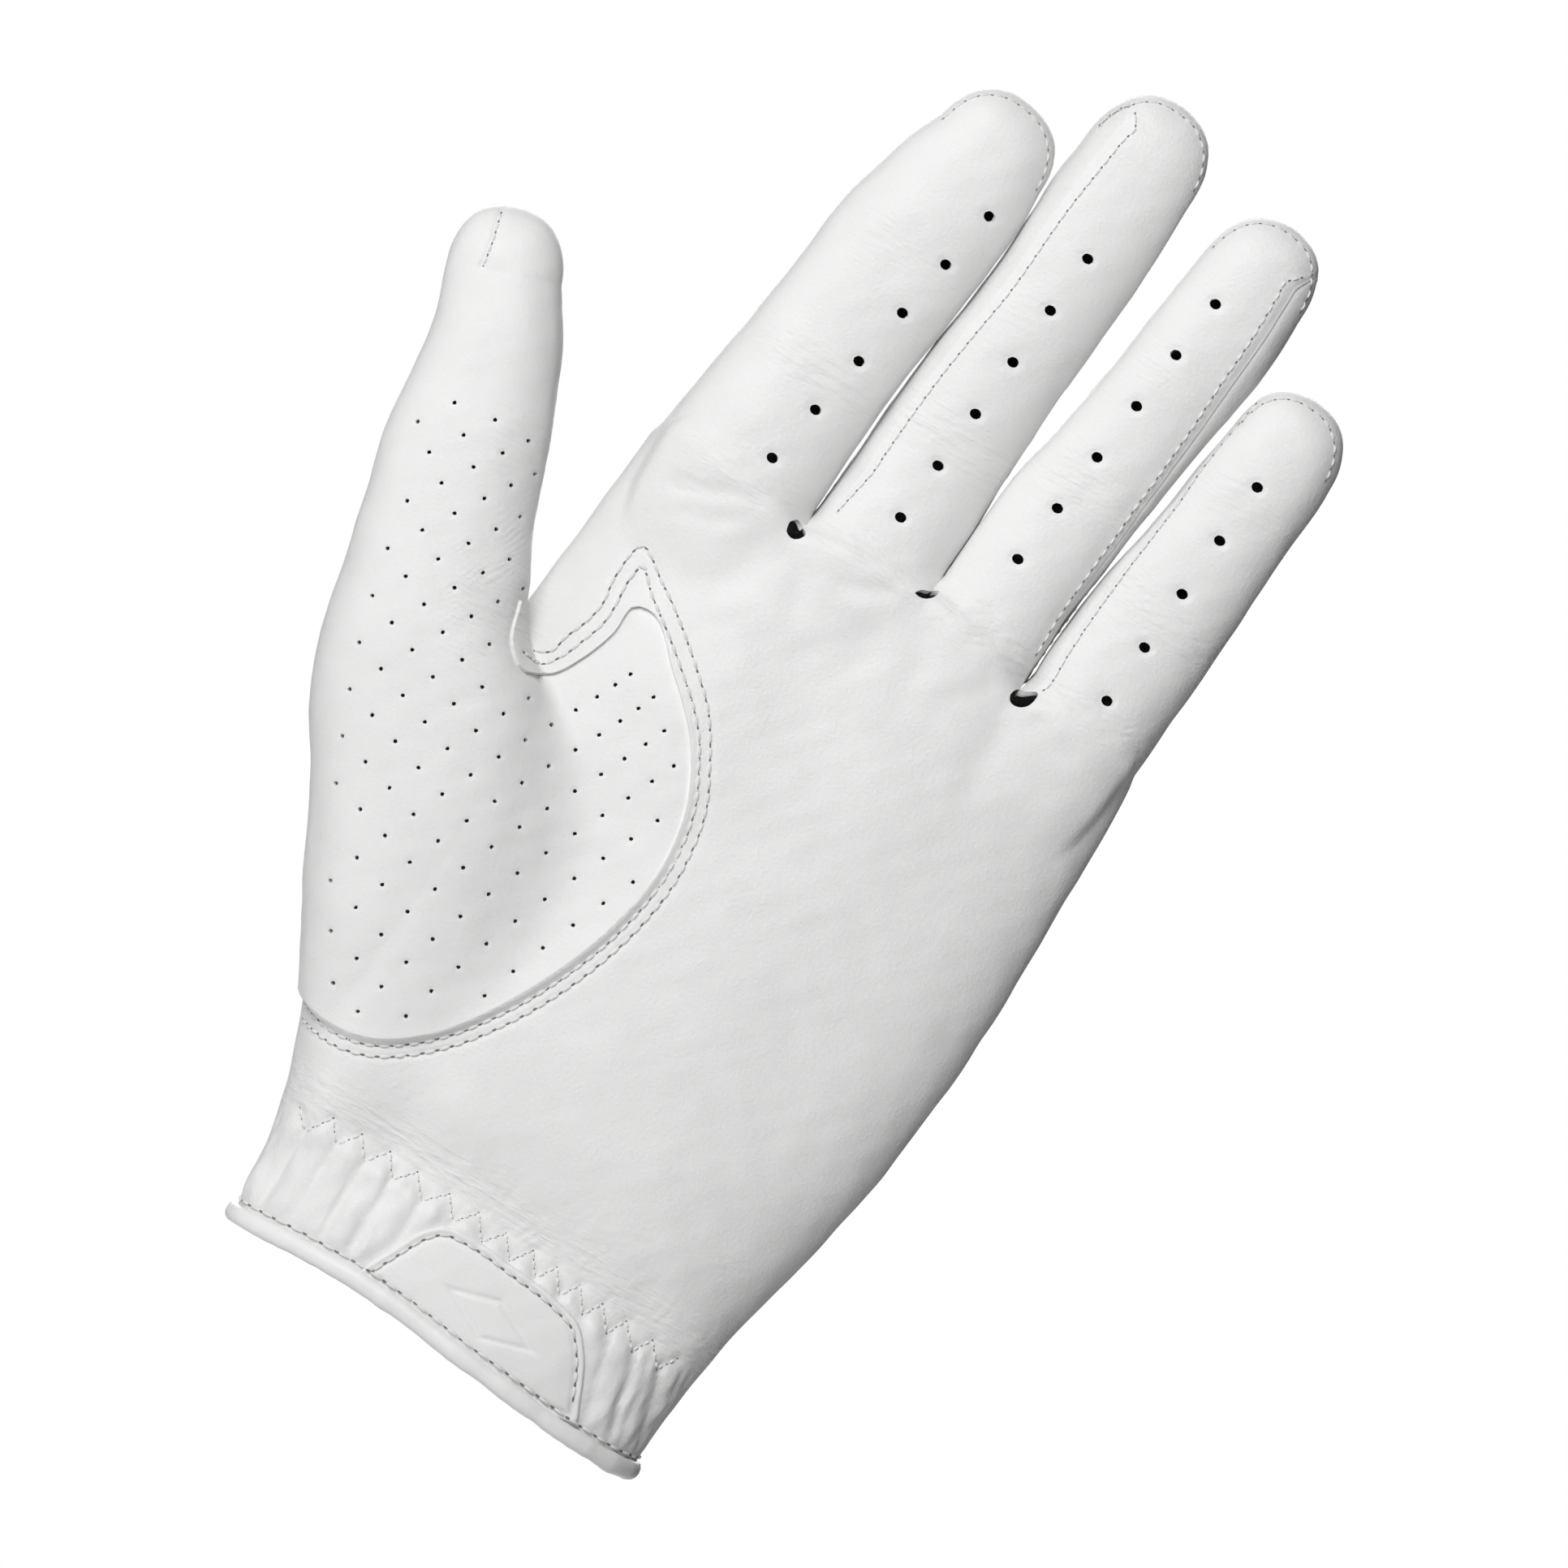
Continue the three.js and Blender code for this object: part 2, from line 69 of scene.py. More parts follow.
# Hand: height, left and right edge, palm face and back face.
HAND = np.array([
    [-12, -36.8, 34.4, -16.5, 16.5], [3, -37.0, 35.4, -16.4, 16.4], [20, -39.2, 37.8, -16.0, 16.0],
    [36, -43.5, 41.8, -15.8, 15.4], [55, -46.5, 45.6, -15.4, 14.8], [75, -47.0, 48.4, -14.8, 14.2],
    [100, -45.4, 49.0, -13.8, 13.4], [120, -43.0, 49.0, -12.2, 12.0], [144, -40.4, 49.2, -10.0, 9.6],
], float)

# Line where the fingers leave the hand. Its inner corners are the three webs.
WEB_LINE = np.array([[-70, 142], [-45, 138.7], [-14.3, 134.1], [7.4, 136], [27.3, 129.4], [52, 127.2],
                     [70, 126]])

# Stalls: foot, lean in the plane of the palm, tip height, height of the dome and sections as HAND's,
# in the stall's own frame. The blend of each finger's base starts at start, that of its tip at bend.
# Each web side has a strip: its seam on the palm side lies this far in from the finger's side, by height.
# Vents: the lowest one's X and Z, the step to the next one in X and Z, and how many there are.
HIDDEN = [(0, 0.06)]
STALLS = {
    "index": dict(
        foot=(-27.5, -0.7, 136.5), lean=8.5, length=72.5, dome=13.0, start=-0.4, bend=20.5, pivot=-9.05,
        sections=[[0, -13.1, 14.4, -9.9, 9.8], [10, -12.7, 14.0, -9.1, 9.0], [20.5, -12.3, 13.3, -8.2, 8.2],
                  [33, -12.7, 12.6, -8.0, 8.0], [46, -12.8, 12.4, -7.7, 7.7], [55, -11.4, 11.8, -7.2, 7.2],
                  [63, -9.6, 10.3, -6.7, 6.7]],
        webs=dict(right=HIDDEN), vents=(3.4, 6.0, 0.6, 9.84, 6)),
    "middle": dict(
        foot=(-2.4, 0.1, 135.0), lean=4.5, length=85.0, dome=13.0, start=1.9, bend=23.6, pivot=-9.15,
        sections=[[0, -12.4, 11.5, -10.4, 9.6], [12, -12.5, 11.2, -9.1, 8.8], [23.6, -12.5, 10.6, -8.3, 8.3],
                  [35, -11.8, 9.9, -8.1, 8.1], [45, -10.9, 9.8, -7.9, 7.9], [64, -10.4, 10.1, -7.4, 7.4],
                  [73, -10.0, 9.8, -6.8, 6.8]],
        webs=dict(left=[(0, 2.5), (12, 3.6), (60, 3.3)], right=HIDDEN),
        vents=(-0.2, 8.9, 0.24, 9.68, 6)),
    "ring": dict(
        foot=(17.8, -0.5, 134.5), lean=7.5, length=77.9, dome=12.5, start=0.2, bend=27.0, pivot=-8.95,
        sections=[[0, -10.9, 10.4, -10.0, 9.8], [10, -11.3, 10.0, -9.0, 8.8], [22, -11.7, 10.2, -8.1, 8.1],
                  [33, -10.2, 10.5, -7.9, 7.9], [43, -9.5, 10.6, -7.7, 7.7], [58, -9.3, 10.2, -7.2, 7.2],
                  [67, -9.2, 9.4, -6.6, 6.6]],
        webs=dict(left=HIDDEN, right=[(0, 1.6), (26, 2.4), (53, 3.3), (66, 3.2)]),
        vents=(-2.8, 12.5, 0.04, 9.8, 6)),
    "little": dict(
        foot=(38.3, -0.9, 131.0), lean=5.6, length=59.7, dome=11.5, start=-2.3, bend=19.2, pivot=-8.55,
        sections=[[-3, -11.7, 10.7, -9.9, 9.8], [12, -12.5, 10.4, -8.5, 8.4], [19, -12.2, 10.2, -7.7, 7.7],
                  [24, -11.8, 9.9, -7.5, 7.5], [34, -10.9, 9.6, -7.1, 7.1], [44, -10.1, 9.3, -6.6, 6.6],
                  [50, -9.1, 8.9, -6.2, 6.2]],
        webs=dict(left=[(0, 3.1), (14, 2.7), (35, 1.6), (50, 0.5)]),
        vents=(0.4, 4.5, -0.08, 9.9, 5)),
    "thumb": dict(
        foot=(-58.0, 0.0, 100.0), lean=-18.0, length=58.2, dome=12.0, start=0.0, bend=0.0, pivot=-20.2,
        sections=[[-70, -5.0, 12.0, -13.0, 9.0], [-62, -7.2, 18.0, -16.0, 11.0],
                  [-53.8, -9.2, 21.0, -17.8, 11.0], [-45, -10.6, 24.0, -19.0, 11.0],
                  [-37, -11.7, 25.0, -20.0, 10.0], [-30.5, -13.0, 25.0, -20.6, 9.0],
                  [-22, -15.0, 24.0, -21.0, 8.0], [-14, -15.6, 20.5, -21.0, 6.0],
                  [-5, -14.9, 15.5, -20.6, 3.0], [3.5, -13.9, 14.0, -20.1, 0.6],
                  [13, -13.1, 12.8, -19.8, -0.7], [21, -12.4, 12.5, -19.6, -1.0],
                  [31, -10.3, 12.2, -19.2, -1.4], [39.5, -8.6, 11.4, -18.8, -1.8],
                  [48, -8.5, 9.4, -17.6, -3.2]],
        webs={}, vents=None),
}
FINGERS = ("index", "middle", "ring", "little")
BLEND_RUN = 13.0          # length of a finger's bend at the knuckle
JOINT_RUN = 7.0           # half the length of its bend at the middle joint
SPLIT_ABOVE = 0.4         # gap between the end of one bend and the start of the next
STRIP_BACK = 3.6          # back edge of the strips between the fingers
FOOT_DEPTH = 14.0         # how far a stall runs down inside the hand
FOOT_TAPER = 0.15         # how quickly it narrows there
CONTACT = (0.06, 0.5)     # gap between fingers that press together: at their middle and on the palm side
CONTACT_ROUND = 0.8       # rounding of the rims beside that gap
JOIN = 5.0                # how softly a finger runs into the hand
THUMB_JOIN = (9.0, 2.2)   # how softly the ball of the thumb does: at its foot and at the crotch
FLUSH = 0.85              # share of that softness lost on the hand's outer edges
WEB_ROUND = 2.0           # rounding of the hand's top at the web line
FINGERS_FROM = 108.0      # the fingers have no effect on the hand below this height
THUMB_UP_TO = -6.0        # nor has the thumb to the right of this place
THUMB_BLEND = 16.0        # length of the thumb's bend at its base
THUMB_DART = [(-77.6, 154.2), (-76.4, 149.6), (-75.6, 145)]
VENT = (0.94, 0.80)       # half the width and half the height of a vent hole

# Outline of the perforated thumb panel. The seam runs from its second to its last but three points.
THUMB_PANEL = [
    (-90, 30), (-60, 44), (-47, 39.0), (-43, 36.1), (-37.5, 34.6), (-32.6, 35.5), (-24.8, 40.6), (-18, 48.7),
    (-12.3, 58.8), (-8.4, 69.3), (-6.8, 79.2), (-8, 89.4), (-12.4, 98.4), (-20, 106.4), (-28.4, 112.6),
    (-29.9, 112.2), (-30.8, 107), (-33, 101.2), (-36.2, 96.6), (-40, 95.2), (-43, 97.6), (-45.4, 104),
    (-60, 130), (-90, 130),
]

# Pin holes on a bent grid: X and Z as sums of these times 1, i, j, ii, ij, jj, iii, iij, ijj and jjj.
HOLE_GRID = np.array([
    [-40.05, 2.02, 5.29, 0.082, -0.028, 0.023, -0.009, -0.001, 0.0106, 0.0028],
    [61.5, 4.95, -1.63, -0.03, 0.004, -0.016, -0.0065, 0.0052, 0.0227, 0.0036],
])
HOLE = dict(radius=0.34, closest=2.0, columns=(-5, 13), rows=(-12, 6), top=127.5, inset=1.7, edge=4.0)
PANEL_EDGE = 1.05              # how far the thumb panel's edge stands above the palm

# Small openings at the webs, on the palm side.
WEB_HOLES = [
    [(-16.2, 134.8), (-15.4, 135.6), (-14.0, 135.0), (-13.0, 134.3), (-13.4, 133.4), (-14.4, 132.8),
     (-15.8, 133.3), (-16.2, 134.8)],
    [(5.6, 135.0), (6.3, 135.9), (7.5, 136.3), (8.9, 137.0), (8.6, 136.0), (7.8, 135.2), (6.6, 134.8),
     (5.6, 135.0)],
    [(25.9, 128.8), (26.3, 130.0), (27.7, 130.5), (29.5, 131.2), (29.5, 129.9), (29.0, 128.6),
     (27.8, 127.8), (26.5, 127.9), (25.9, 128.8)],
]

# Wrist: lower edge of the cuff along X on the palm side, heel patch and zigzag row.
CUFF_LINE = np.array([[-37, 0.2], [-26, 1.0], [-16.4, 1.2], [-6.9, 0.5], [2.6, -0.9], [12, -2.0],
                      [21.7, -3.2], [31, -3.8], [36, -3.6]])
CUFF_BACK = 0.4                # how much higher its lower edge is on the back
BINDING = (1.2, 1.55)          # half the depth and half the height of the cuff's rolled edge
HEEL_PATCH = [(-16.2, 3.4), (-13, 9.6), (-10, 14.6), (-8, 16.3), (-4, 16.9), (4, 16.3), (13, 15.0),
              (17, 13.6), (19.6, 10.6), (23.9, 1.6), (24.2, 0.2), (20, -0.6), (4, 0.6), (-12, 3.0)]
EMBLEM = dict(x=5.0, z=7.6, wide=7.5, high=3.1, slope=0.13)   # plain lozenge pressed into the patch
ZIGZAG = [(-36.4, 20.7), (-31, 21.9), (-26, 21.9), (-21, 21.9), (-16, 21.4), (-10, 21), (-4.6, 20.7),
          (0.6, 20.1), (5.5, 19.9), (10, 19.5), (14.5, 18.9), (19, 18.1), (23.6, 17.6), (28.5, 17),
          (33, 16.4)]
ZIGZAG_DEPTH = 3.3             # height of its teeth

# Back: opening, closure tab, loop patch and the gathered band over the knuckles.
SLIT = dict(x=-1.0, half=6.5, end=0.7, top=56.0)
TAB = dict(hinge=16.0, end=-25.0, low=9.0, high=39.0, corner=7.0)
TAB_BEND = (TAB["hinge"] + 3.0, TAB["hinge"] - 9.0)    # where its bend starts and ends
RECTANGLES = dict(             # one side, the other side, low, high
    loop_patch=(-11, -29, 11.5, 36.5), tab_hook_patch=(-9.6, -21.5, 12.5, 35.5),
    wrist_elastic=(-30, 29, 8.2, 18.2), knuckle_elastic=(-35, 41, 106.4, 113.6),
    size_label=(18.4, 29.6, 16.4, 33.6))
LAYERS = dict(                 # height over the leather and thickness of the pieces laid on it
    heel_patch=(-0.25, 0.95), loop_patch=(0.1, 0.9), tab_hook_patch=(1.5, 0.7), tab_lining=(2.5, 0.6),
    tab_leather=(3.3, 0.9), band=(-1.0, 0.6))
KNUCKLE_BAND = dict(left=-36.0, right=42.0, low=106.0, high=114.0)

# Rows of stitches: thread radius, pitch, stitch length and radius of the dark oval painted as the shade in
# each needle hole.
SEWING = dict(
    finger=(0.17, 2.1, 1.5, 0.17), thumb_dart=(0.24, 2.0, 1.5, 0.20), thumb_seam=(0.26, 2.3, 1.8, 0.24),
    heel_patch=(0.22, 2.3, 1.8, 0.22), zigzag=(0.20, 1.8, 1.3, 0.14), cuff=(0.22, 2.9, 2.0, 0.25),
    knuckle=(0.22, 2.6, 2.0, 0.30), tab=(0.24, 2.8, 2.1, 0.30))

# Picture and light, in metres and watts.
PICTURE = dict(centre=(0.003, 0.100), side=0.2385, distance=3.0, roll=30.0)
WORLD_LIGHT = (0.06, 0.30)     # strength of the even light from the right and from the left
LAMPS = {"side_key": ((-1.35, -0.5, 0.45), 0.8, 1.0), "front_key": ((-0.44, -1.15, 0.72), 0.8, 15.0),
         "back_fill": ((-0.1, 1.3, 0.6), 1.0, 14.0)}
FLOOR = dict(radius=1.5, height=-0.36, sides=96)

# ---------------------------------------------------------------- small functions


def smooth(low, high, x):
    t = np.clip((x - low) / (high - low), 0, 1)
    return t * t * (3 - 2 * t)


def smin(a, b, k):
    h = np.maximum(k - np.abs(a - b), 0) / k
    return np.minimum(a, b) - h * h * k / 4


def smax(a, b, k):
    return -smin(-a, -b, k)


def bell(x, width):
    return np.exp(-(x / width) ** 2)


def table_at(z, table):
    """Rows of a table at any heights, on a smooth curve through them."""
    heights, rows = table[:, 0], table[:, 1:]
    slopes = np.gradient(rows, heights, axis=0)
    i = np.clip(np.searchsorted(heights, z) - 1, 0, len(heights) - 2)
    gap = (heights[i + 1] - heights[i])[:, None]
    t = np.clip((z - heights[i])[:, None] / gap, 0, 1)
    s = 1 - t
    ends = (1 + 2 * t) * s * s * rows[i] + t * t * (3 - 2 * t) * rows[i + 1]
    return ends + gap * t * s * (s * slopes[i] - t * slopes[i + 1])


def curve_through(points, step):
    """A smooth curve through points, as points about a step apart."""
    points = np.array(points, float)
    lengths = np.linalg.norm(np.diff(points, axis=0), axis=1)
    at = np.concatenate([[0], np.cumsum(lengths)])
    count = max(2, int(at[-1] / step) + 1)
    return table_at(np.linspace(0, at[-1], count), np.column_stack([at, points]))


def line_distance(p, line):
    """Distance of 2-D points from a run of straight pieces, and how far along it the nearest point is."""
    nearest = np.full(len(p), np.inf)
    place = np.zeros(len(p))
    total = 0.0
    for a, b in zip(line[:-1], line[1:]):
        run = b - a
        length = max(np.linalg.norm(run), 1e-9)
        t = np.clip(((p - a) @ run) / length ** 2, 0, 1)
        distance = np.linalg.norm(p - a - t[:, None] * run, axis=1)
        closer = distance < nearest
        nearest[closer] = distance[closer]
        place[closer] = (total + t * length)[closer]
        total += length
    return nearest, place / total


def inside_distance(p, outline):
    """Distance from a closed outline, positive inside it."""
    closed = np.vstack([outline, outline[:1]])
    crossings = np.zeros(len(p), int)
    for (x0, z0), (x1, z1) in zip(closed[:-1], closed[1:]):
        if z0 == z1:
            continue
        spans = (p[:, 1] >= min(z0, z1)) & (p[:, 1] < max(z0, z1))
        crossings += spans & (p[:, 0] < x0 + (p[:, 1] - z0) * (x1 - x0) / (z1 - z0))
    sign = np.where(crossings % 2 == 1, 1, -1)
    return sign * line_distance(p, closed)[0]


def ripple(p, wavelength, seed, waves=14):
    """Smooth unevenness, about from -1 to 1."""
    draw = np.random.default_rng(seed)
    direction = draw.normal(size=(waves, 3))
    direction /= np.linalg.norm(direction, axis=1)[:, None]
    number = 2 * np.pi / wavelength * draw.uniform(0.7, 1.4, waves)
    phase = draw.uniform(0, 2 * np.pi, waves)
    total = np.zeros(len(p))
    for d, n, f in zip(direction, number, phase):
        total += np.sin(p @ d * n + f)
    return total * math.sqrt(2 / waves) / 1.6


# ---------------------------------------------------------------- the glove's form, as distance fields


def tube_field(q, table, shoulder=None, dome=1.0):
    """Distance from a tube of super-ellipse sections along Z, domed above its shoulder."""
    left, right, front, back = table_at(q[:, 2], table).T
    half = np.column_stack([(right - left) / 2, (back - front) / 2, np.full(len(q), dome)])
    above = np.zeros(len(q)) if shoulder is None else np.maximum(q[:, 2] - shoulder, 0)
    away = np.column_stack([q[:, 0] - (left + right) / 2, q[:, 1] - (front + back) / 2, above])
    scaled = np.abs(away) / half
    radius = np.maximum((scaled ** SQUARENESS).sum(1) ** (1 / SQUARENESS), 1e-3)
    slope = (scaled / radius[:, None]) ** (SQUARENESS - 1) / half
    return (radius - 1) / np.maximum(np.linalg.norm(slope, axis=1), 1e-3)


def neighbours(items, place):
    """The items just before and just after a place."""
    return items[max(place - 1, 0):place] + items[place + 1:place + 2]


class Stall:
    """A finger or the thumb, in its own frame: X across it, Z up it."""

    def __init__(self, foot, lean, length, dome, start, bend, pivot, sections, webs, vents):
        turn = math.radians(lean)
        self.foot = np.array(foot, float)
        cosine, sine = math.cos(turn), math.sin(turn)
        self.axes = np.array([[cosine, 0, -sine], [0, 1, 0], [sine, 0, cosine]])
        self.sections = np.array(sections, float)
        self.length, self.dome, self.start, self.bend = length, dome, start, bend
        self.pivot, self.webs, self.vents = pivot, webs, vents

    def local(self, p):
        return (p - self.foot) @ self.axes.T

    def world(self, q):
        return np.asarray(q, float) @ self.axes + self.foot

    def field(self, p):
        q = self.local(p)
        tube = tube_field(q, self.sections, self.length - self.dome, self.dome)
        below = self.sections[0, 0] - q[:, 2]
        return smax(tube + FOOT_TAPER * np.maximum(below, 0), below - FOOT_DEPTH, 6.0)

    def on_axis(self, z):
        """A point beside the joint's axis at a height, in metres."""
        return tuple(float(v) * MM for v in self.world([[0, self.pivot, z]])[0])


stalls = {name: Stall(**values) for name, values in STALLS.items()}


def palm_block(p):
    """The hand without its fingers and thumb, up to the web line."""
    top = np.interp(p[:, 0], WEB_LINE[:, 0], WEB_LINE[:, 1])
    return smax(tube_field(p, HAND), p[:, 2] - top, WEB_ROUND)


def finger_fields(p):
    """Each finger, flattened where it presses on its neighbours."""
    alone = [stalls[name].field(p) for name in FINGERS]
    gap = CONTACT[0] + (CONTACT[1] - CONTACT[0]) * smooth(-1.0, -4.5, p[:, 1])
    fields = []
    for place, own in enumerate(alone):
        result = own
        for other in neighbours(alone, place):
            result = smax(result, (own - other + gap) / 2, CONTACT_ROUND)
        fields.append(result)
    return fields


def join_at(p):
    """How softly the fingers run into the hand: hardly on its outer edges, where the two are flush."""
    return JOIN * (1 - FLUSH * smooth(35, 42, np.abs(p[:, 0] - 3)) * smooth(8, 4, np.abs(p[:, 1])))


def finger_field(name):
    place = FINGERS.index(name)
    return lambda p: smin(palm_block(p), finger_fields(p)[place], join_at(p))


def without_thumb(p):
    result = palm_block(p)
    near = p[:, 2] > FINGERS_FROM
    if near.any():
        result[near] = smin(result[near], np.min(finger_fields(p[near]), axis=0), join_at(p[near]))
    return result


def hand_field(p):
    """The hand with the ball of the thumb, which runs in softly except at the crotch."""
    thumb = stalls["thumb"]
    result = without_thumb(p)
    near = p[:, 0] < THUMB_UP_TO
    if near.any():
        at_foot, at_crotch = THUMB_JOIN
        softness = at_foot + (at_crotch - at_foot) * smooth(-34, -6, thumb.local(p[near])[:, 2])
        softness *= 1 - FLUSH * smooth(-34, -42, p[near, 0])
        result[near] = smin(result[near], thumb.field(p[near]), softness)
    return result


def gradient(field, p):
    reach = 0.05
    sides = [field(p + e) - field(p - e) for e in np.eye(3) * reach]
    return np.stack(sides, axis=1) / (2 * reach)


def unit(v):
    return v / np.maximum(np.linalg.norm(v, axis=1), 1e-9)[:, None]


def cast(field, origins, direction, reach):
    """Where rays first meet the field's zero level: they start outside it and end inside."""
    direction = np.asarray(direction, float)
    low = np.zeros(len(origins))
    high = np.full(len(origins), float(reach))
    for _ in range(26):
        middle = (low + high) / 2
        outside = field(origins + middle[:, None] * direction) > 0
        low = np.where(outside, middle, low)
        high = np.where(outside, high, middle)
    return origins + high[:, None] * direction


def on_face(x, z, side, field=hand_field):
    """Points and outward normals on the palm face (side -1) or the back (side 1)."""
    origins = np.column_stack([x, np.full(len(x), side * 60.0), z])
    points = cast(field, origins, (0, -side, 0), 60.0)
    return points, unit(gradient(field, points))


# ---------------------------------------------------------------- surfaces


def halves_of(quads):
    """Each quad as two triangles."""
    return np.vstack([quads[:, [0, 1, 2]], quads[:, [0, 2, 3]]])


def tube_faces(rings, sides):
    """The triangles of a tube of point rings, with flat ends."""
    i = np.arange(sides)
    j = (i + 1) % sides
    faces = []
    for ring in range(rings - 1):
        a = ring * sides
        faces += [np.column_stack([a + i, a + j, a + sides + j]),
                  np.column_stack([a + i, a + sides + j, a + sides + i])]
    fan = np.arange(1, sides - 1)
    last = (rings - 1) * sides
    faces += [np.column_stack([fan * 0, fan + 1, fan]),
              np.column_stack([fan * 0 + last, last + fan, last + fan + 1])]
    return np.vstack(faces)


class Skin:
    """Triangles whose points have, in one row each: place, normal and place before the relief."""

    def __init__(self, rows, faces):
        self.rows, self.faces = rows, faces

    place = property(lambda self: self.rows[:, :3])
    normal = property(lambda self: self.rows[:, 3:6])
    base = property(lambda self: self.rows[:, 6:9])

    def part(self, scalar):
        """The part where a number that each point has is positive, cut straight across the triangles."""
        keep = scalar > 0
        count = keep[self.faces].sum(1)
        one = self.turned(self.faces[count == 1], keep)
        two = self.turned(self.faces[count == 2], ~keep)
        ends = np.sort(np.vstack([one[:, [0, 1]], one[:, [0, 2]], two[:, [0, 1]], two[:, [0, 2]]]), axis=1)
        edges, index = np.unique(ends, axis=0, return_inverse=True)
        a, b = edges.T if len(edges) else (np.zeros(0, int), np.zeros(0, int))
        t = (scalar[a] / (scalar[a] - scalar[b]))[:, None]
        rows = np.vstack([self.rows, self.rows[a] * (1 - t) + self.rows[b] * t])
        new = index.reshape(-1) + len(self.rows)
        ab, ac = new[:len(one)], new[len(one):2 * len(one)]
        cd, ce = new[2 * len(one):2 * len(one) + len(two)], new[2 * len(one) + len(two):]
        faces = np.vstack([
            self.faces[count == 3], np.column_stack([one[:, 0], ab, ac]),
            np.column_stack([cd, two[:, 1], two[:, 2]]), np.column_stack([cd, two[:, 2], ce]),
        ])
        used, faces = np.unique(faces, return_inverse=True)
        return Skin(rows[used], faces.reshape(-1, 3))

    @staticmethod
    def turned(faces, odd):
        """Each triangle turned so that its one odd corner comes first."""
        first = odd[faces].argmax(1)[:, None]
        return np.take_along_axis(faces, (first + np.arange(3)) % 3, axis=1)

    def raised(self, height):
        """The surface moved out by a height at each point, with new normals."""
        rows = self.rows.copy()
        rows[:, :3] += height[:, None] * rows[:, 3:6]
        a, b, c = (rows[self.faces[:, i], :3] for i in range(3))
        across = np.cross(b - a, c - a)
        total = np.zeros((len(rows), 3))
        for axis in range(3):
            for corner in range(3):
                total[:, axis] += np.bincount(self.faces[:, corner], across[:, axis], len(rows))
        rows[:, 3:6] = unit(total)
        return Skin(rows, self.faces)


def skin_of(field, low, high, step):
    """The field's zero level inside a box: one point in each grid cell that it crosses."""
    low = np.array(low, float)
    counts = np.ceil((np.array(high, float) - low) / step).astype(int) + 1
    axes = [low[i] + step * np.arange(counts[i]) for i in range(3)]
    value = np.concatenate([
        field(np.stack(np.meshgrid([x], axes[1], axes[2], indexing="ij"), -1).reshape(-1, 3)) for x in axes[0]
    ]).reshape(counts)
    cells, points, quads = [], [], []
    for axis in range(3):
        near = value[tuple(slice(None, -1) if i == axis else slice(None) for i in range(3))]
        far = value[tuple(slice(1, None) if i == axis else slice(None) for i in range(3))]
        edge = np.argwhere((near < 0) != (far < 0))
        a, b = near[tuple(edge.T)], far[tuple(edge.T)]
        crossing = low + step * edge
        crossing[:, axis] += step * a / (a - b)
        u, v = (i for i in range(3) if i != axis)
        ring = []
        for du, dv in ((-1, -1), (0, -1), (0, 0), (-1, 0)):
            cell = edge + 1
            cell[:, u] += du
            cell[:, v] += dv
            ring.append(np.ravel_multi_index(cell.T, counts + 1))
            cells.append(ring[-1])
            points.append(crossing)
        ring = np.column_stack(ring)
        reverse = (a < 0) == (axis == 1)
        quads.append(np.where(reverse[:, None], ring[:, ::-1], ring))
    used, index = np.unique(np.concatenate(cells), return_inverse=True)
    points = np.vstack(points)
    number = np.bincount(index)
    p = np.column_stack([np.bincount(index, points[:, i]) / number for i in range(3)])
    for _ in range(3):
        g = gradient(field, p)
        move = field(p) / np.maximum((g * g).sum(1), 1e-6)
        p -= np.clip(move, -step, step)[:, None] * g
    faces = halves_of(np.searchsorted(used, np.vstack(quads)))
    return Skin(np.hstack([p, unit(gradient(field, p)), p]), faces)


# ---------------------------------------------------------------- pieces


def new_piece(name, points, faces, materials, normals=None, rest=None, face_material=None):
    """A mesh object from places in millimetres. Its materials find their place by the attribute rest."""
    rest = points if rest is None else rest
    mesh = bpy.data.meshes.new(name)
    mesh.from_pydata((points * MM).tolist(), [], faces.tolist())
    attribute = mesh.attributes.new("rest", "FLOAT_VECTOR", "POINT")
    attribute.data.foreach_set("vector", rest.astype(np.float32).ravel())
    creases = mesh.attributes.new("creases", "FLOAT", "POINT")
    creases.data.foreach_set("value", crease_share(rest).astype(np.float32))
    mesh.polygons.foreach_set("use_smooth", np.ones(len(faces), bool))
    for material in materials:
        mesh.materials.append(material)
    if face_material is not None:
        mesh.polygons.foreach_set("material_index", face_material.astype(np.int32))
    if normals is not None:
        mesh.normals_split_custom_set_from_vertices(normals.tolist())
    mesh.update()
    piece = bpy.data.objects.new(name, mesh)
    bpy.context.collection.objects.link(piece)
    return piece


def edge_of(faces):
    """The open edges, in the direction in which their triangles go round."""
    edges = np.vstack([faces[:, [0, 1]], faces[:, [1, 2]], faces[:, [2, 0]]])
    size = faces.max() + 1
    forward = edges[:, 0] * size + edges[:, 1]
    backward = edges[:, 1] * size + edges[:, 0]
    return edges[~np.isin(forward, backward)]


def leather_piece(name, skin, materials):
    """A panel with its wall: outer face, inner face and the cut edge between them."""
    inner = skin.place - LEATHER * skin.normal
    n = len(inner)
    a, b = edge_of(skin.faces).T
    m = len(a)
    points = np.vstack([skin.place, inner, skin.place[a], skin.place[b], inner[b], inner[a]])
    rest = np.vstack([skin.base, inner, skin.base[a], skin.base[b], inner[b], inner[a]])
    top_a, top_b, low_b, low_a = 2 * n + np.arange(4 * m).reshape(4, m)
    faces = np.vstack([
        skin.faces, skin.faces[:, ::-1] + n,
        np.column_stack([top_b, top_a, low_a]), np.column_stack([top_b, low_a, low_b]),
    ])
    normals = np.vstack([skin.normal, -skin.normal, np.zeros((4 * m, 3))])
    which = np.concatenate([np.zeros(len(skin.faces)), np.ones(len(skin.faces)), np.zeros(2 * m)])
    return new_piece(name, points, faces, materials, normals, rest, which)


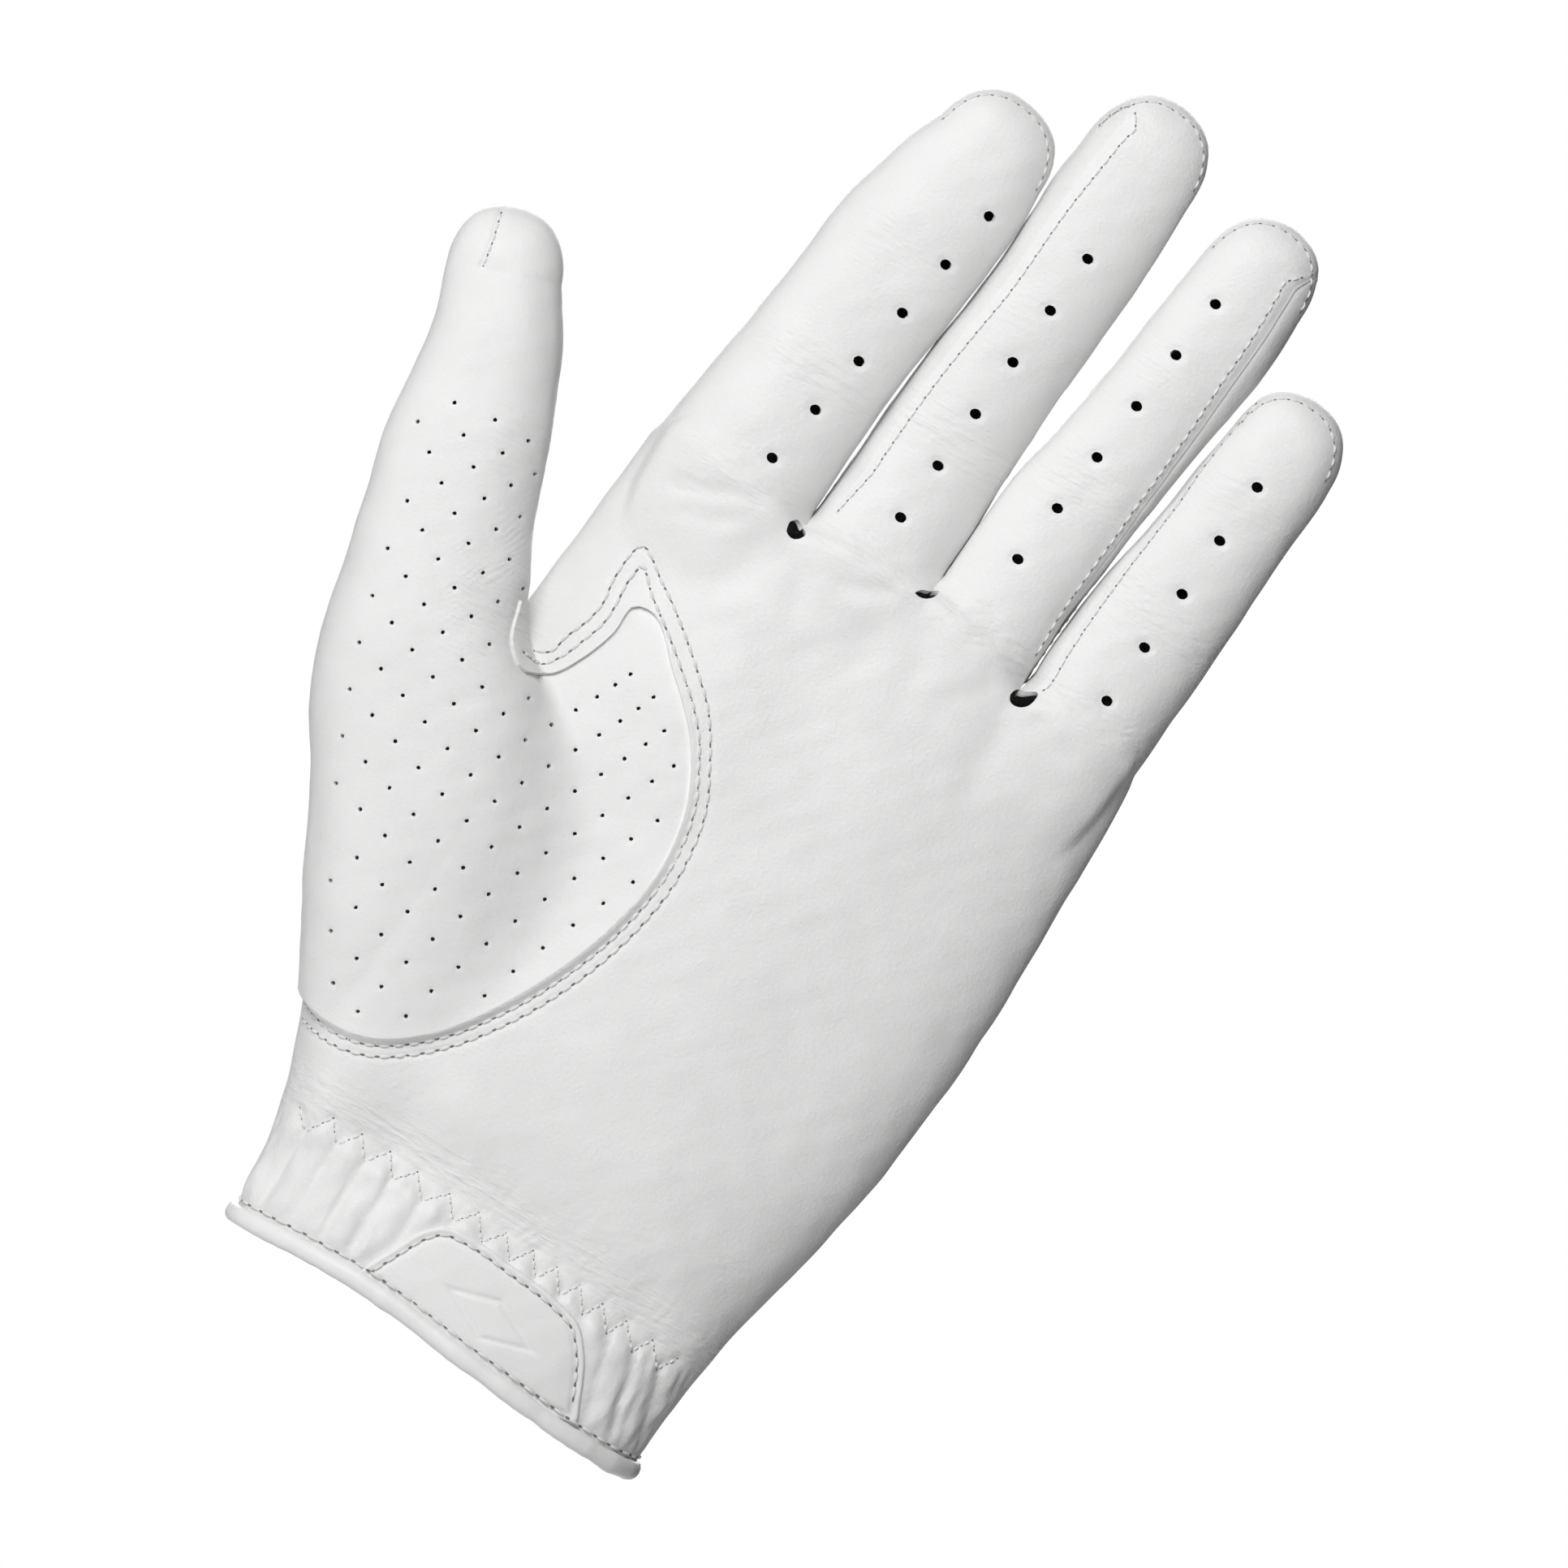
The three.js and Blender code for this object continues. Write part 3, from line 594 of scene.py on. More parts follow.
def finish_piece(piece, slot, body=None, nodes=()):
    """Hides the CAD nodes that a piece replaces and hangs it on the body that carries it. The slot is not
    used.
    """
    if nodes:
        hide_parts(*nodes)
    if body:
        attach(piece, body)


# ---------------------------------------------------------------- materials


def shader(name, colour, roughness, sheen=0.0, specular=0.5):
    """A Principled material, with a coordinate in millimetres that stays with the leather as it bends."""
    material = bpy.data.materials.new(name)
    material.use_nodes = True
    nodes, links = material.node_tree.nodes, material.node_tree.links
    principled = nodes["Principled BSDF"]
    principled.inputs["Base Color"].default_value = (*colour, 1)
    principled.inputs["Roughness"].default_value = roughness
    principled.inputs["Sheen Weight"].default_value = sheen
    principled.inputs["Specular IOR Level"].default_value = specular
    place = nodes.new("ShaderNodeAttribute")
    place.attribute_name = "rest"
    return material, nodes, links, principled, place


def noise_node(nodes, links, place, scale, detail=2.0):
    """Noise at a scale in cycles per millimetre."""
    noise = nodes.new("ShaderNodeTexNoise")
    noise.inputs["Scale"].default_value = scale
    noise.inputs["Detail"].default_value = detail
    links.new(place.outputs["Vector"], noise.inputs["Vector"])
    return noise


def vary(nodes, links, source, target, low, high):
    """Drives a number or colour socket between two values by a 0 to 1 source."""
    if isinstance(low, float):
        node = nodes.new("ShaderNodeMapRange")
        node.inputs["To Min"].default_value = low
        node.inputs["To Max"].default_value = high
        links.new(source, node.inputs["Value"])
        links.new(node.outputs["Result"], target)
    else:
        node = nodes.new("ShaderNodeValToRGB")
        node.color_ramp.elements[0].position = 0.3
        node.color_ramp.elements[1].position = 0.7
        node.color_ramp.elements[0].color = (*low, 1)
        node.color_ramp.elements[1].color = (*high, 1)
        links.new(source, node.inputs["Fac"])
        links.new(node.outputs["Color"], target)


def bump(nodes, links, height, distance, strength, principled, after=None):
    """A bump from a height socket, a distance in millimetres deep, on top of an earlier one."""
    node = nodes.new("ShaderNodeBump")
    node.inputs["Distance"].default_value = distance * MM
    node.inputs["Strength"].default_value = strength
    links.new(height, node.inputs["Height"])
    if after:
        links.new(after.outputs["Normal"], node.inputs["Normal"])
    links.new(node.outputs["Normal"], principled.inputs["Normal"])
    return node


def crease_share(p):
    """How creased the leather is: over the zigzag row, at the fingers' feet and joints, at the thumb."""
    share = 0.8 * bell(p[:, 2] - np.interp(p[:, 0], ZIGZAG_TOPS[:, 0], ZIGZAG_TOPS[:, 1]) - 3.0, 3.5)
    for name in FINGERS:
        stall = stalls[name]
        q = stall.local(p)
        beside = smooth(13, 9, np.abs(q[:, 0]))
        for height, spread, strength in ((1.5, 3.2, 0.6), (stall.bend, 4.2, 0.7), (stall.bend + 22, 5, 0.3)):
            share = np.maximum(share, strength * beside * bell(q[:, 2] - height, spread))
    q = stalls["thumb"].local(p)
    beside = smooth(0, 6, q[:, 0]) * smooth(20, 14, q[:, 0])
    return np.maximum(share, beside * np.maximum(0.8 * bell(q[:, 2] + 3, 8), 0.4 * bell(q[:, 2] - 24, 6)))


def leather_material(name, light, shade, grain, roughness):
    """Fine-grained leather: pebbles under a millimetre, faint creasing and faint mottling."""
    material, nodes, links, principled, place = shader(name, light, roughness, sheen=0.05, specular=0.35)
    mottle = noise_node(nodes, links, place, 0.11, 3.0)
    vary(nodes, links, mottle.outputs["Fac"], principled.inputs["Base Color"], shade, light)
    patchy = noise_node(nodes, links, place, 0.35, 2.0)
    vary(nodes, links, patchy.outputs["Fac"], principled.inputs["Roughness"],
         roughness - 0.04, roughness + 0.06)
    pebbles = nodes.new("ShaderNodeTexVoronoi")
    pebbles.feature = "SMOOTH_F1"
    pebbles.inputs["Scale"].default_value = 1.75
    pebbles.inputs["Smoothness"].default_value = 0.6
    bent = nodes.new("ShaderNodeVectorMath")
    bent.operation = "MULTIPLY_ADD"
    bent.inputs[1].default_value = (0.7, 0.7, 0.7)
    wander = noise_node(nodes, links, place, 1.1, 2.0)
    links.new(wander.outputs["Color"], bent.inputs[0])
    links.new(place.outputs["Vector"], bent.inputs[2])
    links.new(bent.outputs["Vector"], pebbles.inputs["Vector"])
    first = bump(nodes, links, pebbles.outputs["Distance"], 0.10, grain, principled)
    creased = noise_node(nodes, links, place, 0.9, 5.0)
    second = bump(nodes, links, creased.outputs["Fac"], 0.12, grain * 0.6, principled, first)
    flattened = nodes.new("ShaderNodeVectorMath")
    flattened.operation = "MULTIPLY"
    flattened.inputs[1].default_value = (0.22, 0.22, 1.0)
    links.new(place.outputs["Vector"], flattened.inputs[0])
    lines = noise_node(nodes, links, flattened, 1.0, 3.0)
    share = nodes.new("ShaderNodeAttribute")
    share.attribute_name = "creases"
    product = nodes.new("ShaderNodeMath")
    product.operation = "MULTIPLY"
    links.new(lines.outputs["Fac"], product.inputs[0])
    links.new(share.outputs["Fac"], product.inputs[1])
    bump(nodes, links, product.outputs["Value"], 0.7, 0.8, principled, second)
    return material


def suede_material():
    """The rough inner face of the leather."""
    material, nodes, links, principled, place = shader("inner_suede", (0.36, 0.36, 0.35), 0.95, sheen=0.2)
    fluff = noise_node(nodes, links, place, 2.6, 4.0)
    vary(nodes, links, fluff.outputs["Fac"], principled.inputs["Base Color"],
         (0.30, 0.30, 0.29), (0.44, 0.44, 0.43))
    bump(nodes, links, fluff.outputs["Fac"], 0.15, 0.6, principled)
    return material


def thread_material():
    material, nodes, links, principled, place = shader("sewing_thread", (0.80, 0.80, 0.79), 0.62, sheen=0.3)
    ply = nodes.new("ShaderNodeTexWave")
    ply.inputs["Scale"].default_value = 1.4
    ply.inputs["Distortion"].default_value = 0.6
    links.new(place.outputs["Vector"], ply.inputs["Vector"])
    vary(nodes, links, ply.outputs["Fac"], principled.inputs["Base Color"],
         (0.70, 0.70, 0.69), (0.84, 0.84, 0.83))
    bump(nodes, links, ply.outputs["Fac"], 0.06, 0.5, principled)
    return material


def woven_material(name, light, shade, scale, ribs):
    """Knitted or woven cloth, with ribs along X or loops all over."""
    material, nodes, links, principled, place = shader(name, light, 0.9, sheen=0.4)
    if ribs:
        weave = nodes.new("ShaderNodeTexWave")
        weave.bands_direction = "X"
        weave.inputs["Scale"].default_value = scale
        weave.inputs["Distortion"].default_value = 0.8
        links.new(place.outputs["Vector"], weave.inputs["Vector"])
    else:
        weave = noise_node(nodes, links, place, scale, 4.0)
    vary(nodes, links, weave.outputs["Fac"], principled.inputs["Base Color"], shade, light)
    bump(nodes, links, weave.outputs["Fac"], 0.35, 0.8, principled)
    return material


# Dark ovals at the needle holes: painted shade standing in for the shadow inside each hole.
def needle_hole_shade_material():
    material, nodes, links, principled, place = shader("needle_hole_painted_shade", (0.16, 0.16, 0.16), 0.9)
    # The noise makes the painted shade darker or lighter from hole to hole.
    depth = noise_node(nodes, links, place, 3.0)
    vary(nodes, links, depth.outputs["Fac"], principled.inputs["Base Color"],
         (0.10, 0.10, 0.10), (0.24, 0.24, 0.24))
    return material


LEATHER_FACE = leather_material("white_leather", (0.815, 0.815, 0.81), (0.795, 0.795, 0.79), 0.42, 0.50)
PANEL_FACE = leather_material("perforated_leather", (0.82, 0.82, 0.815), (0.80, 0.80, 0.795), 0.32, 0.52)
# The strips between the fingers get a darker copy of the white leather: painted shade for the gaps where they
# lie.
SHADED_STRIP_FACE = leather_material("fourchette_leather_painted_shade", (0.78, 0.78, 0.775), (0.73, 0.73, 0.725), 0.5, 0.55)
ROLLED_FACE = leather_material("rolled_binding", (0.85, 0.85, 0.845), (0.81, 0.81, 0.805), 0.25, 0.42)
LINING_FACE = leather_material("tab_lining_leather", (0.74, 0.74, 0.73), (0.69, 0.69, 0.68), 0.5, 0.62)
INNER_FACE = suede_material()
THREAD = thread_material()
NEEDLE_HOLE_SHADE = needle_hole_shade_material()
HOOK_LOOP = woven_material("hook_and_loop", (0.78, 0.78, 0.77), (0.55, 0.55, 0.54), 3.2, ribs=False)
ELASTIC = woven_material("woven_elastic", (0.74, 0.74, 0.73), (0.56, 0.56, 0.55), 0.42, ribs=True)
LABEL = woven_material("woven_label", (0.80, 0.80, 0.80), (0.70, 0.70, 0.70), 0.9, ribs=True)

# ---------------------------------------------------------------- relief: folds, seams and gathers

PANEL_SEAM = curve_through(THUMB_PANEL[1:-2], 1.4)
PANEL_OUTLINE = np.vstack([THUMB_PANEL[:1], PANEL_SEAM, THUMB_PANEL[-2:]])
PATCH_OUTLINE = np.array(HEEL_PATCH, float)
ZIGZAG_TOPS = np.array(ZIGZAG, float)

FOLD_STRENGTH = 0.55

# Soft folds of the palm: points along the valley, depth, half width.
FOLDS = [
    ([(-37, 130.6), (-31, 132.0), (-25, 134.6), (-19, 136.4)], 0.42, 1.3),
    ([(-33, 127.6), (-27, 129.6), (-20, 132.6)], 0.22, 1.2),
    ([(-25, 117.2), (-17, 119.2), (-9, 121.4), (-2, 122)], -0.32, 2.6),
    ([(-17, 131.5), (-19, 126), (-22.5, 119)], 0.3, 2.2),
    ([(-12.4, 131.5), (-9.6, 126.6), (-8.4, 120)], 0.28, 2.0),
    ([(4.6, 134.4), (-1, 131.6), (-6.5, 130.4)], 0.45, 1.5),
    ([(5.8, 133), (3.4, 127.4), (2.8, 119)], 0.3, 2.2),
    ([(8.6, 133), (11.6, 126.4), (13, 118)], 0.34, 2.2),
    ([(10.4, 136.4), (15.6, 134.4), (21.6, 134.4)], 0.3, 1.5),
    ([(24.6, 128.6), (19.6, 124.4), (16.6, 118)], 0.36, 2.2),
    ([(27.4, 126.4), (27, 119), (28.6, 111)], 0.3, 2.4),
    ([(30, 128.6), (34.6, 125.4), (41, 124.8)], 0.32, 1.7),
    ([(-37.8, 93), (-31, 84), (-27, 73)], 0.3, 3.4),
    ([(-48, 96), (-53, 104), (-56, 113)], 0.3, 2.4),
    ([(-51.5, 95), (-57.5, 101), (-62, 108)], 0.2, 1.8),
]


def folds_at(p):
    """Height of the palm's soft folds: a valley with a low ridge on either side."""
    total = np.zeros(len(p))
    for points, depth, width in FOLDS:
        distance, place = line_distance(p[:, [0, 2]], curve_through(points, 2.0))
        ends = smooth(0, 0.22, place) * smooth(1, 0.78, place)
        ridge = 0.45 * bell(distance - 2.1 * width, 1.2 * width)
        total += FOLD_STRENGTH * ends * depth * (ridge - bell(distance, width))
    return total


def wrinkles(q, height, spread, sides, pitch, depth, seed, slant=0.0):
    """Fine lines across a finger or the palm about a height, patchy as in thin leather."""
    low, high = sides
    z = q[:, 2] - height - slant * q[:, 0] + 0.6 * ripple(q, 10, seed)
    line = np.abs(np.sin(np.pi * z / pitch + 0.7 * ripple(q, 6, seed + 1)))
    patches = np.clip(0.55 + 0.75 * ripple(q, 7.5, seed + 2), 0, 1)
    across = smooth(low - 2.5, low + 2.5, q[:, 0]) * smooth(high + 2.5, high - 2.5, q[:, 0])
    return -depth * (1 - line) ** 1.6 * patches * across * bell(z, spread)


def soft_relief(p):
    """The slight unevenness of filled leather."""
    return 0.26 * ripple(p, 36, 3) + 0.10 * ripple(p, 14, 4) + 0.035 * ripple(p, 5, 5)


def common_relief(p):
    """What the hand's and the fingers' leather share, so that they meet along the web line."""
    front, back = smooth(0, -4, p[:, 1]), smooth(0, 4, p[:, 1])
    height = soft_relief(p) + front * folds_at(p)
    height += front * wrinkles(p, 138.0, 2.4, (-35, -17), 1.25, 0.24, 31, slant=0.16)
    height += front * wrinkles(p, 136.0, 2.0, (-11, 4), 1.2, 0.2, 34)
    height += front * wrinkles(p, 134.0, 2.2, (10, 25), 1.2, 0.2, 37)
    height += back * wrinkles(p, 131.0, 3.0, (-38, 46), 1.6, 0.22, 64)
    return height


def cuff_low(x, y):
    """Height of the cuff's lower edge."""
    front = np.interp(x, CUFF_LINE[:, 0], CUFF_LINE[:, 1])
    return front + CUFF_BACK * smooth(-10, 8, y)


def gathers(p):
    """Puffs between the zigzag row and the cuff on the palm side, and small lines above the row."""
    x, z = p[:, 0], p[:, 2]
    tops = np.interp(x, ZIGZAG_TOPS[:, 0], ZIGZAG_TOPS[:, 1])
    low = cuff_low(x, p[:, 1]) + 3.4
    share = (z - low) / (tops - low)
    lean = 0.24 * smooth(12, 27, x)
    puff_number = np.interp(x - lean * (tops - z), ZIGZAG_TOPS[:, 0], np.arange(len(ZIGZAG_TOPS)))
    puff = np.abs(np.cos(np.pi * puff_number)) ** 0.75
    patch = inside_distance(p[:, [0, 2]], PATCH_OUTLINE)
    off_patch = smooth(0.8, -2.2, patch)
    band = smooth(-0.04, 0.16, share) * smooth(1.02, 0.80, share)
    sides = smooth(-39, -36, x) * smooth(37, 33, x)
    uneven = 0.82 + 0.25 * ripple(p, 8, 21)
    soft = 1 - 0.4 * smooth(10, 24, x)
    height = band * off_patch * sides * uneven * soft * (1.15 * puff - 0.2)
    height += band * off_patch * 0.14 * ripple(p * np.array([1.0, 1.0, 0.35]), 2.6, 22)
    above = smooth(0.96, 1.08, share) * bell(share - 1.0, 0.5) * sides
    lines = np.abs(np.sin(np.pi * (x + 1.5 * ripple(p, 7, 23)) / 2.4))
    height -= above * 0.20 * (1 - lines) ** 1.4 * np.clip(0.6 + 0.6 * ripple(p, 9, 24), 0, 1)
    between_sides = smooth(-34, -20, x) * smooth(37, 22, x)
    waist = 2.3 * bell(z - tops - 1.0, 6.8) * smooth(0.75, 1.0, share) * between_sides
    return height - waist - 0.3 * bell(z - low + 0.2, 0.7) * sides


def zigzag_line():
    """Corners of the zigzag: a top over each puff and a low corner between two."""
    corners = []
    for (x0, z0), (x1, z1) in zip(ZIGZAG[:-1], ZIGZAG[1:]):
        corners += [(x0, z0), ((x0 + x1) / 2, (z0 + z1) / 2 - ZIGZAG_DEPTH)]
    return np.array(corners + [ZIGZAG[-1]], float)


def offset_line(line, distance):
    """A line in X and Z moved to its right by a distance."""
    run = np.gradient(line, axis=0)
    run /= np.maximum(np.linalg.norm(run, axis=1), 1e-9)[:, None]
    moved = line + distance * np.column_stack([run[:, 1], -run[:, 0]])
    clear = line_distance(moved, line)[0] > 0.93 * abs(distance)
    return moved[clear]


# Two rows of stitches follow the seam outside the thumb panel and run on to a point over its tip.
SEAM_ROWS = (
    (1.35, [(-14.4, 102.9), (-19, 107.1), (-23.3, 110.7), (-28.6, 114.7), (-32.3, 117.7), (-32.9, 114.6),
            (-32.7, 111), (-32.9, 107.6), (-34.3, 103.4), (-35.9, 99.8), (-38.2, 97.2), (-41, 97.6)]),
    (3.0, [(-12.6, 104), (-17, 108.3), (-21, 111.8), (-28, 117), (-33.9, 120.4), (-35, 114.6), (-34.6, 109.6),
           (-35.3, 106.4), (-36.8, 102.8), (-37.8, 99.6), (-40, 98.6)]),
)


def seam_row(distance, rest):
    """A row of stitches at a distance from the thumb panel's seam and on through some points."""
    beside = offset_line(curve_through(THUMB_PANEL[2:13], 0.7), distance)
    return curve_through(np.vstack([beside[::6], rest]), 0.7)


seam_rows = [seam_row(*row) for row in SEAM_ROWS]


def rounded_under(place):
    """One where the thumb panel's edge stands above the palm leather, at its lower right."""
    return smooth(0.03, 0.13, place) * smooth(0.66, 0.44, place)


def palm_relief(p):
    """Everything on the palm leather, the seam round the thumb panel among it."""
    front = smooth(0, -4, p[:, 1])
    near_seam, place = line_distance(p[:, [0, 2]], PANEL_SEAM)
    under = rounded_under(place)
    lip = (0.5 - 0.3 * smooth(0.9, 0.96, place)) * (1 - under) * np.exp(-near_seam / 2.4)
    lip += PANEL_EDGE * under * smooth(1.35, -0.1, near_seam)
    for row in seam_rows:
        lip -= 0.2 * bell(line_distance(p[:, [0, 2]], row)[0], 0.5)
    height = common_relief(p) + front * (lip + gathers(p))
    height -= front * 0.3 * bell(line_distance(p[:, [0, 2]], zigzag_line())[0], 0.7)
    height += front * wrinkles(p, 25.0, 4.0, (-38, -2), 1.4, 0.14, 40, slant=-0.3)
    height += front * wrinkles(p, 24.0, 4.0, (2, 36), 1.4, 0.12, 43, slant=0.25)
    return height


def pin_hole_centres():
    """X and Z of the pin holes, where the bent grid lies on the thumb panel or the thumb."""
    columns, rows = np.meshgrid(np.arange(*HOLE["columns"]), np.arange(*HOLE["rows"]))
    i, j = columns.ravel().astype(float), rows.ravel().astype(float)

    def on_grid(i, j):
        cubes = [i ** 3, i * i * j, i * j * j, j ** 3]
        return (HOLE_GRID @ np.stack([i ** 0, i, j, i * i, i * j, j * j] + cubes)).T

    place = on_grid(i, j)
    spaced = np.linalg.norm(on_grid(i + 1, j) - place, axis=1) > HOLE["closest"]
    thumb = stalls["thumb"]
    q = thumb.local(np.column_stack([place[:, 0], place[:, 0] * 0, place[:, 1]]))
    left, right = table_at(q[:, 2], thumb.sections)[:, :2].T
    on_panel = (inside_distance(place, PANEL_OUTLINE) > HOLE["inset"]) & (q[:, 0] > left + HOLE["edge"])
    on_thumb = (q[:, 2] > 0) & (q[:, 0] > left + HOLE["edge"]) & (q[:, 0] < right - 0.8)
    wanted = np.where(q[:, 2] > 0, on_thumb, on_panel & (place[:, 1] < 112)) & (place[:, 1] < HOLE["top"])
    return place[wanted & spaced]


def pin_distance(p):
    """Distance from the nearest pin hole's centre, seen from the palm side."""
    nearest = np.full(len(p), FAR_INSIDE)
    for x, z in pin_holes:
        nearest = np.minimum(nearest, np.hypot(p[:, 0] - x, p[:, 2] - z))
    return nearest


pin_holes = pin_hole_centres()


def panel_relief(p):
    """The thumb panel and the thumb: the panel's edge, dished pin holes and fine wrinkles."""
    front = smooth(0, -4, p[:, 1])
    near_seam, place = line_distance(p[:, [0, 2]], PANEL_SEAM)
    under = rounded_under(place)
    sunk = 0.4 * (1 - under) * np.exp(-near_seam / 1.3) - PANEL_EDGE * under * np.exp(-near_seam / 6)
    pricks = 0.16 * bell(pin_distance(p), 0.5)
    height = common_relief(p) - front * (sunk + pricks)
    q = stalls["thumb"].local(p)
    height += front * wrinkles(q, -2.0, 9.0, (2, 13), 1.2, 0.09, 51, slant=0.9)
    height += front * wrinkles(q, 22.0, 4.5, (-2, 12), 1.3, 0.06, 54, slant=-0.3)
    return height


def back_relief(p):
    """The back of the hand: puckered over the knuckle elastic, with soft folds beside the opening."""
    x, z = p[:, 0], p[:, 2]
    back = smooth(0, 4, p[:, 1])
    band = KNUCKLE_BAND
    middle = (band["low"] + band["high"]) / 2
    half = (band["high"] - band["low"]) / 2
    inside = smooth(band["left"] - 3, band["left"] + 3, x) * smooth(band["right"] + 3, band["right"] - 3, x)
    puckers = np.abs(np.sin(np.pi * (x + 0.8 * ripple(p, 12, 61)) / 3.6)) ** 0.8
    reach = bell(z - middle, half * 1.5)
    height = back * inside * reach * 0.75 * (puckers - 0.45)
    for row in (-half, 0.0, half):
        height -= back * inside * 0.32 * bell(z - middle - row, 0.6)
    height += back * 0.25 * ripple(p * np.array([1.0, 1.0, 0.4]), 9, 67) * smooth(62, 40, z)
    return height + common_relief(p)


def strip_edges(stall, q):
    """Front and back edge of the strip beside each point: they run together at the fingertip."""
    left, right, front, back = table_at(q[:, 2], stall.sections).T
    above = np.clip((q[:, 2] - stall.length + stall.dome) / stall.dome, 0, 0.99)
    shrink = (1 - above ** SQUARENESS) ** (1 / SQUARENESS)
    half, depth = shrink * (right - left) / 2, shrink * (back - front) / 2
    taper = 1 - smooth(stall.length - 8, stall.length - 2, q[:, 2])
    edge = np.zeros(len(q))
    for web, rows in stall.webs.items():
        heights, widths = zip(*rows)
        width = np.interp(q[:, 2], heights, widths) * taper
        inwards = np.clip(1 - width / half, 0, 1)
        reach = np.minimum((front + back) / 2 - depth * (1 - inwards ** SQUARENESS) ** (1 / SQUARENESS), -1.0)
        edge = np.where((q[:, 0] > 0) == (web == "right"), reach, edge)
    return edge, STRIP_BACK * (edge < 0) * taper


def vent_distance(stall, q):
    """Distance from the rim of the nearest vent hole, negative inside one."""
    x, z, drift, pitch, count = stall.vents
    nearest = np.full(len(q), FAR_INSIDE)
    for i in range(count):
        away = np.hypot((q[:, 0] - x - drift * i) / VENT[0], (q[:, 2] - z - pitch * i) / VENT[1])
        nearest = np.minimum(nearest, (away - 1) * VENT[1])
    return np.where(q[:, 1] < -2, nearest, FAR_INSIDE)


def over_web_line(p):
    """Height over the line where the fingers leave the hand."""
    return p[:, 2] - np.interp(p[:, 0], WEB_LINE[:, 0], WEB_LINE[:, 1])


def finger_relief(name, p):
    """Creases at a finger's foot and middle joint, seams beside the strips and dished vents."""
    stall = stalls[name]
    q = stall.local(p)
    seed = 100 + 20 * FINGERS.index(name)
    front, back = smooth(0.5, -3.0, q[:, 1]), smooth(-0.5, 3.0, q[:, 1])
    height = np.zeros(len(p))
    height += front * wrinkles(q, 1.8, 2.6, (-8, 7), 1.25, 0.22, seed)
    height += front * wrinkles(q, stall.bend, 3.6, (-8, 6), 1.35, 0.20, seed + 3)
    height += front * wrinkles(q, stall.bend + 22, 4.0, (-7, 6), 1.4, 0.07, seed + 6)
    height += back * wrinkles(q, stall.bend + 1, 3.4, (-9, 9), 1.7, 0.30, seed + 9)
    height += back * wrinkles(q, 2.0, 3.0, (-10, 10), 1.7, 0.18, seed + 12)
    height -= front * 0.2 * bell(vent_distance(stall, q), 0.45)
    front_edge, back_edge = strip_edges(stall, q)
    beside = (front_edge < 0) * smooth(0, 3, np.abs(q[:, 0])) * smooth(1, 5, q[:, 2])
    for inwards in (front_edge - q[:, 1], q[:, 1] - back_edge):
        height -= beside * (0.3 * bell(inwards - 0.1, 0.4) + 0.12 * bell(inwards - 1.1, 0.45))
    return common_relief(p) + smooth(0, 3, over_web_line(p)) * height


# ---------------------------------------------------------------- stitching


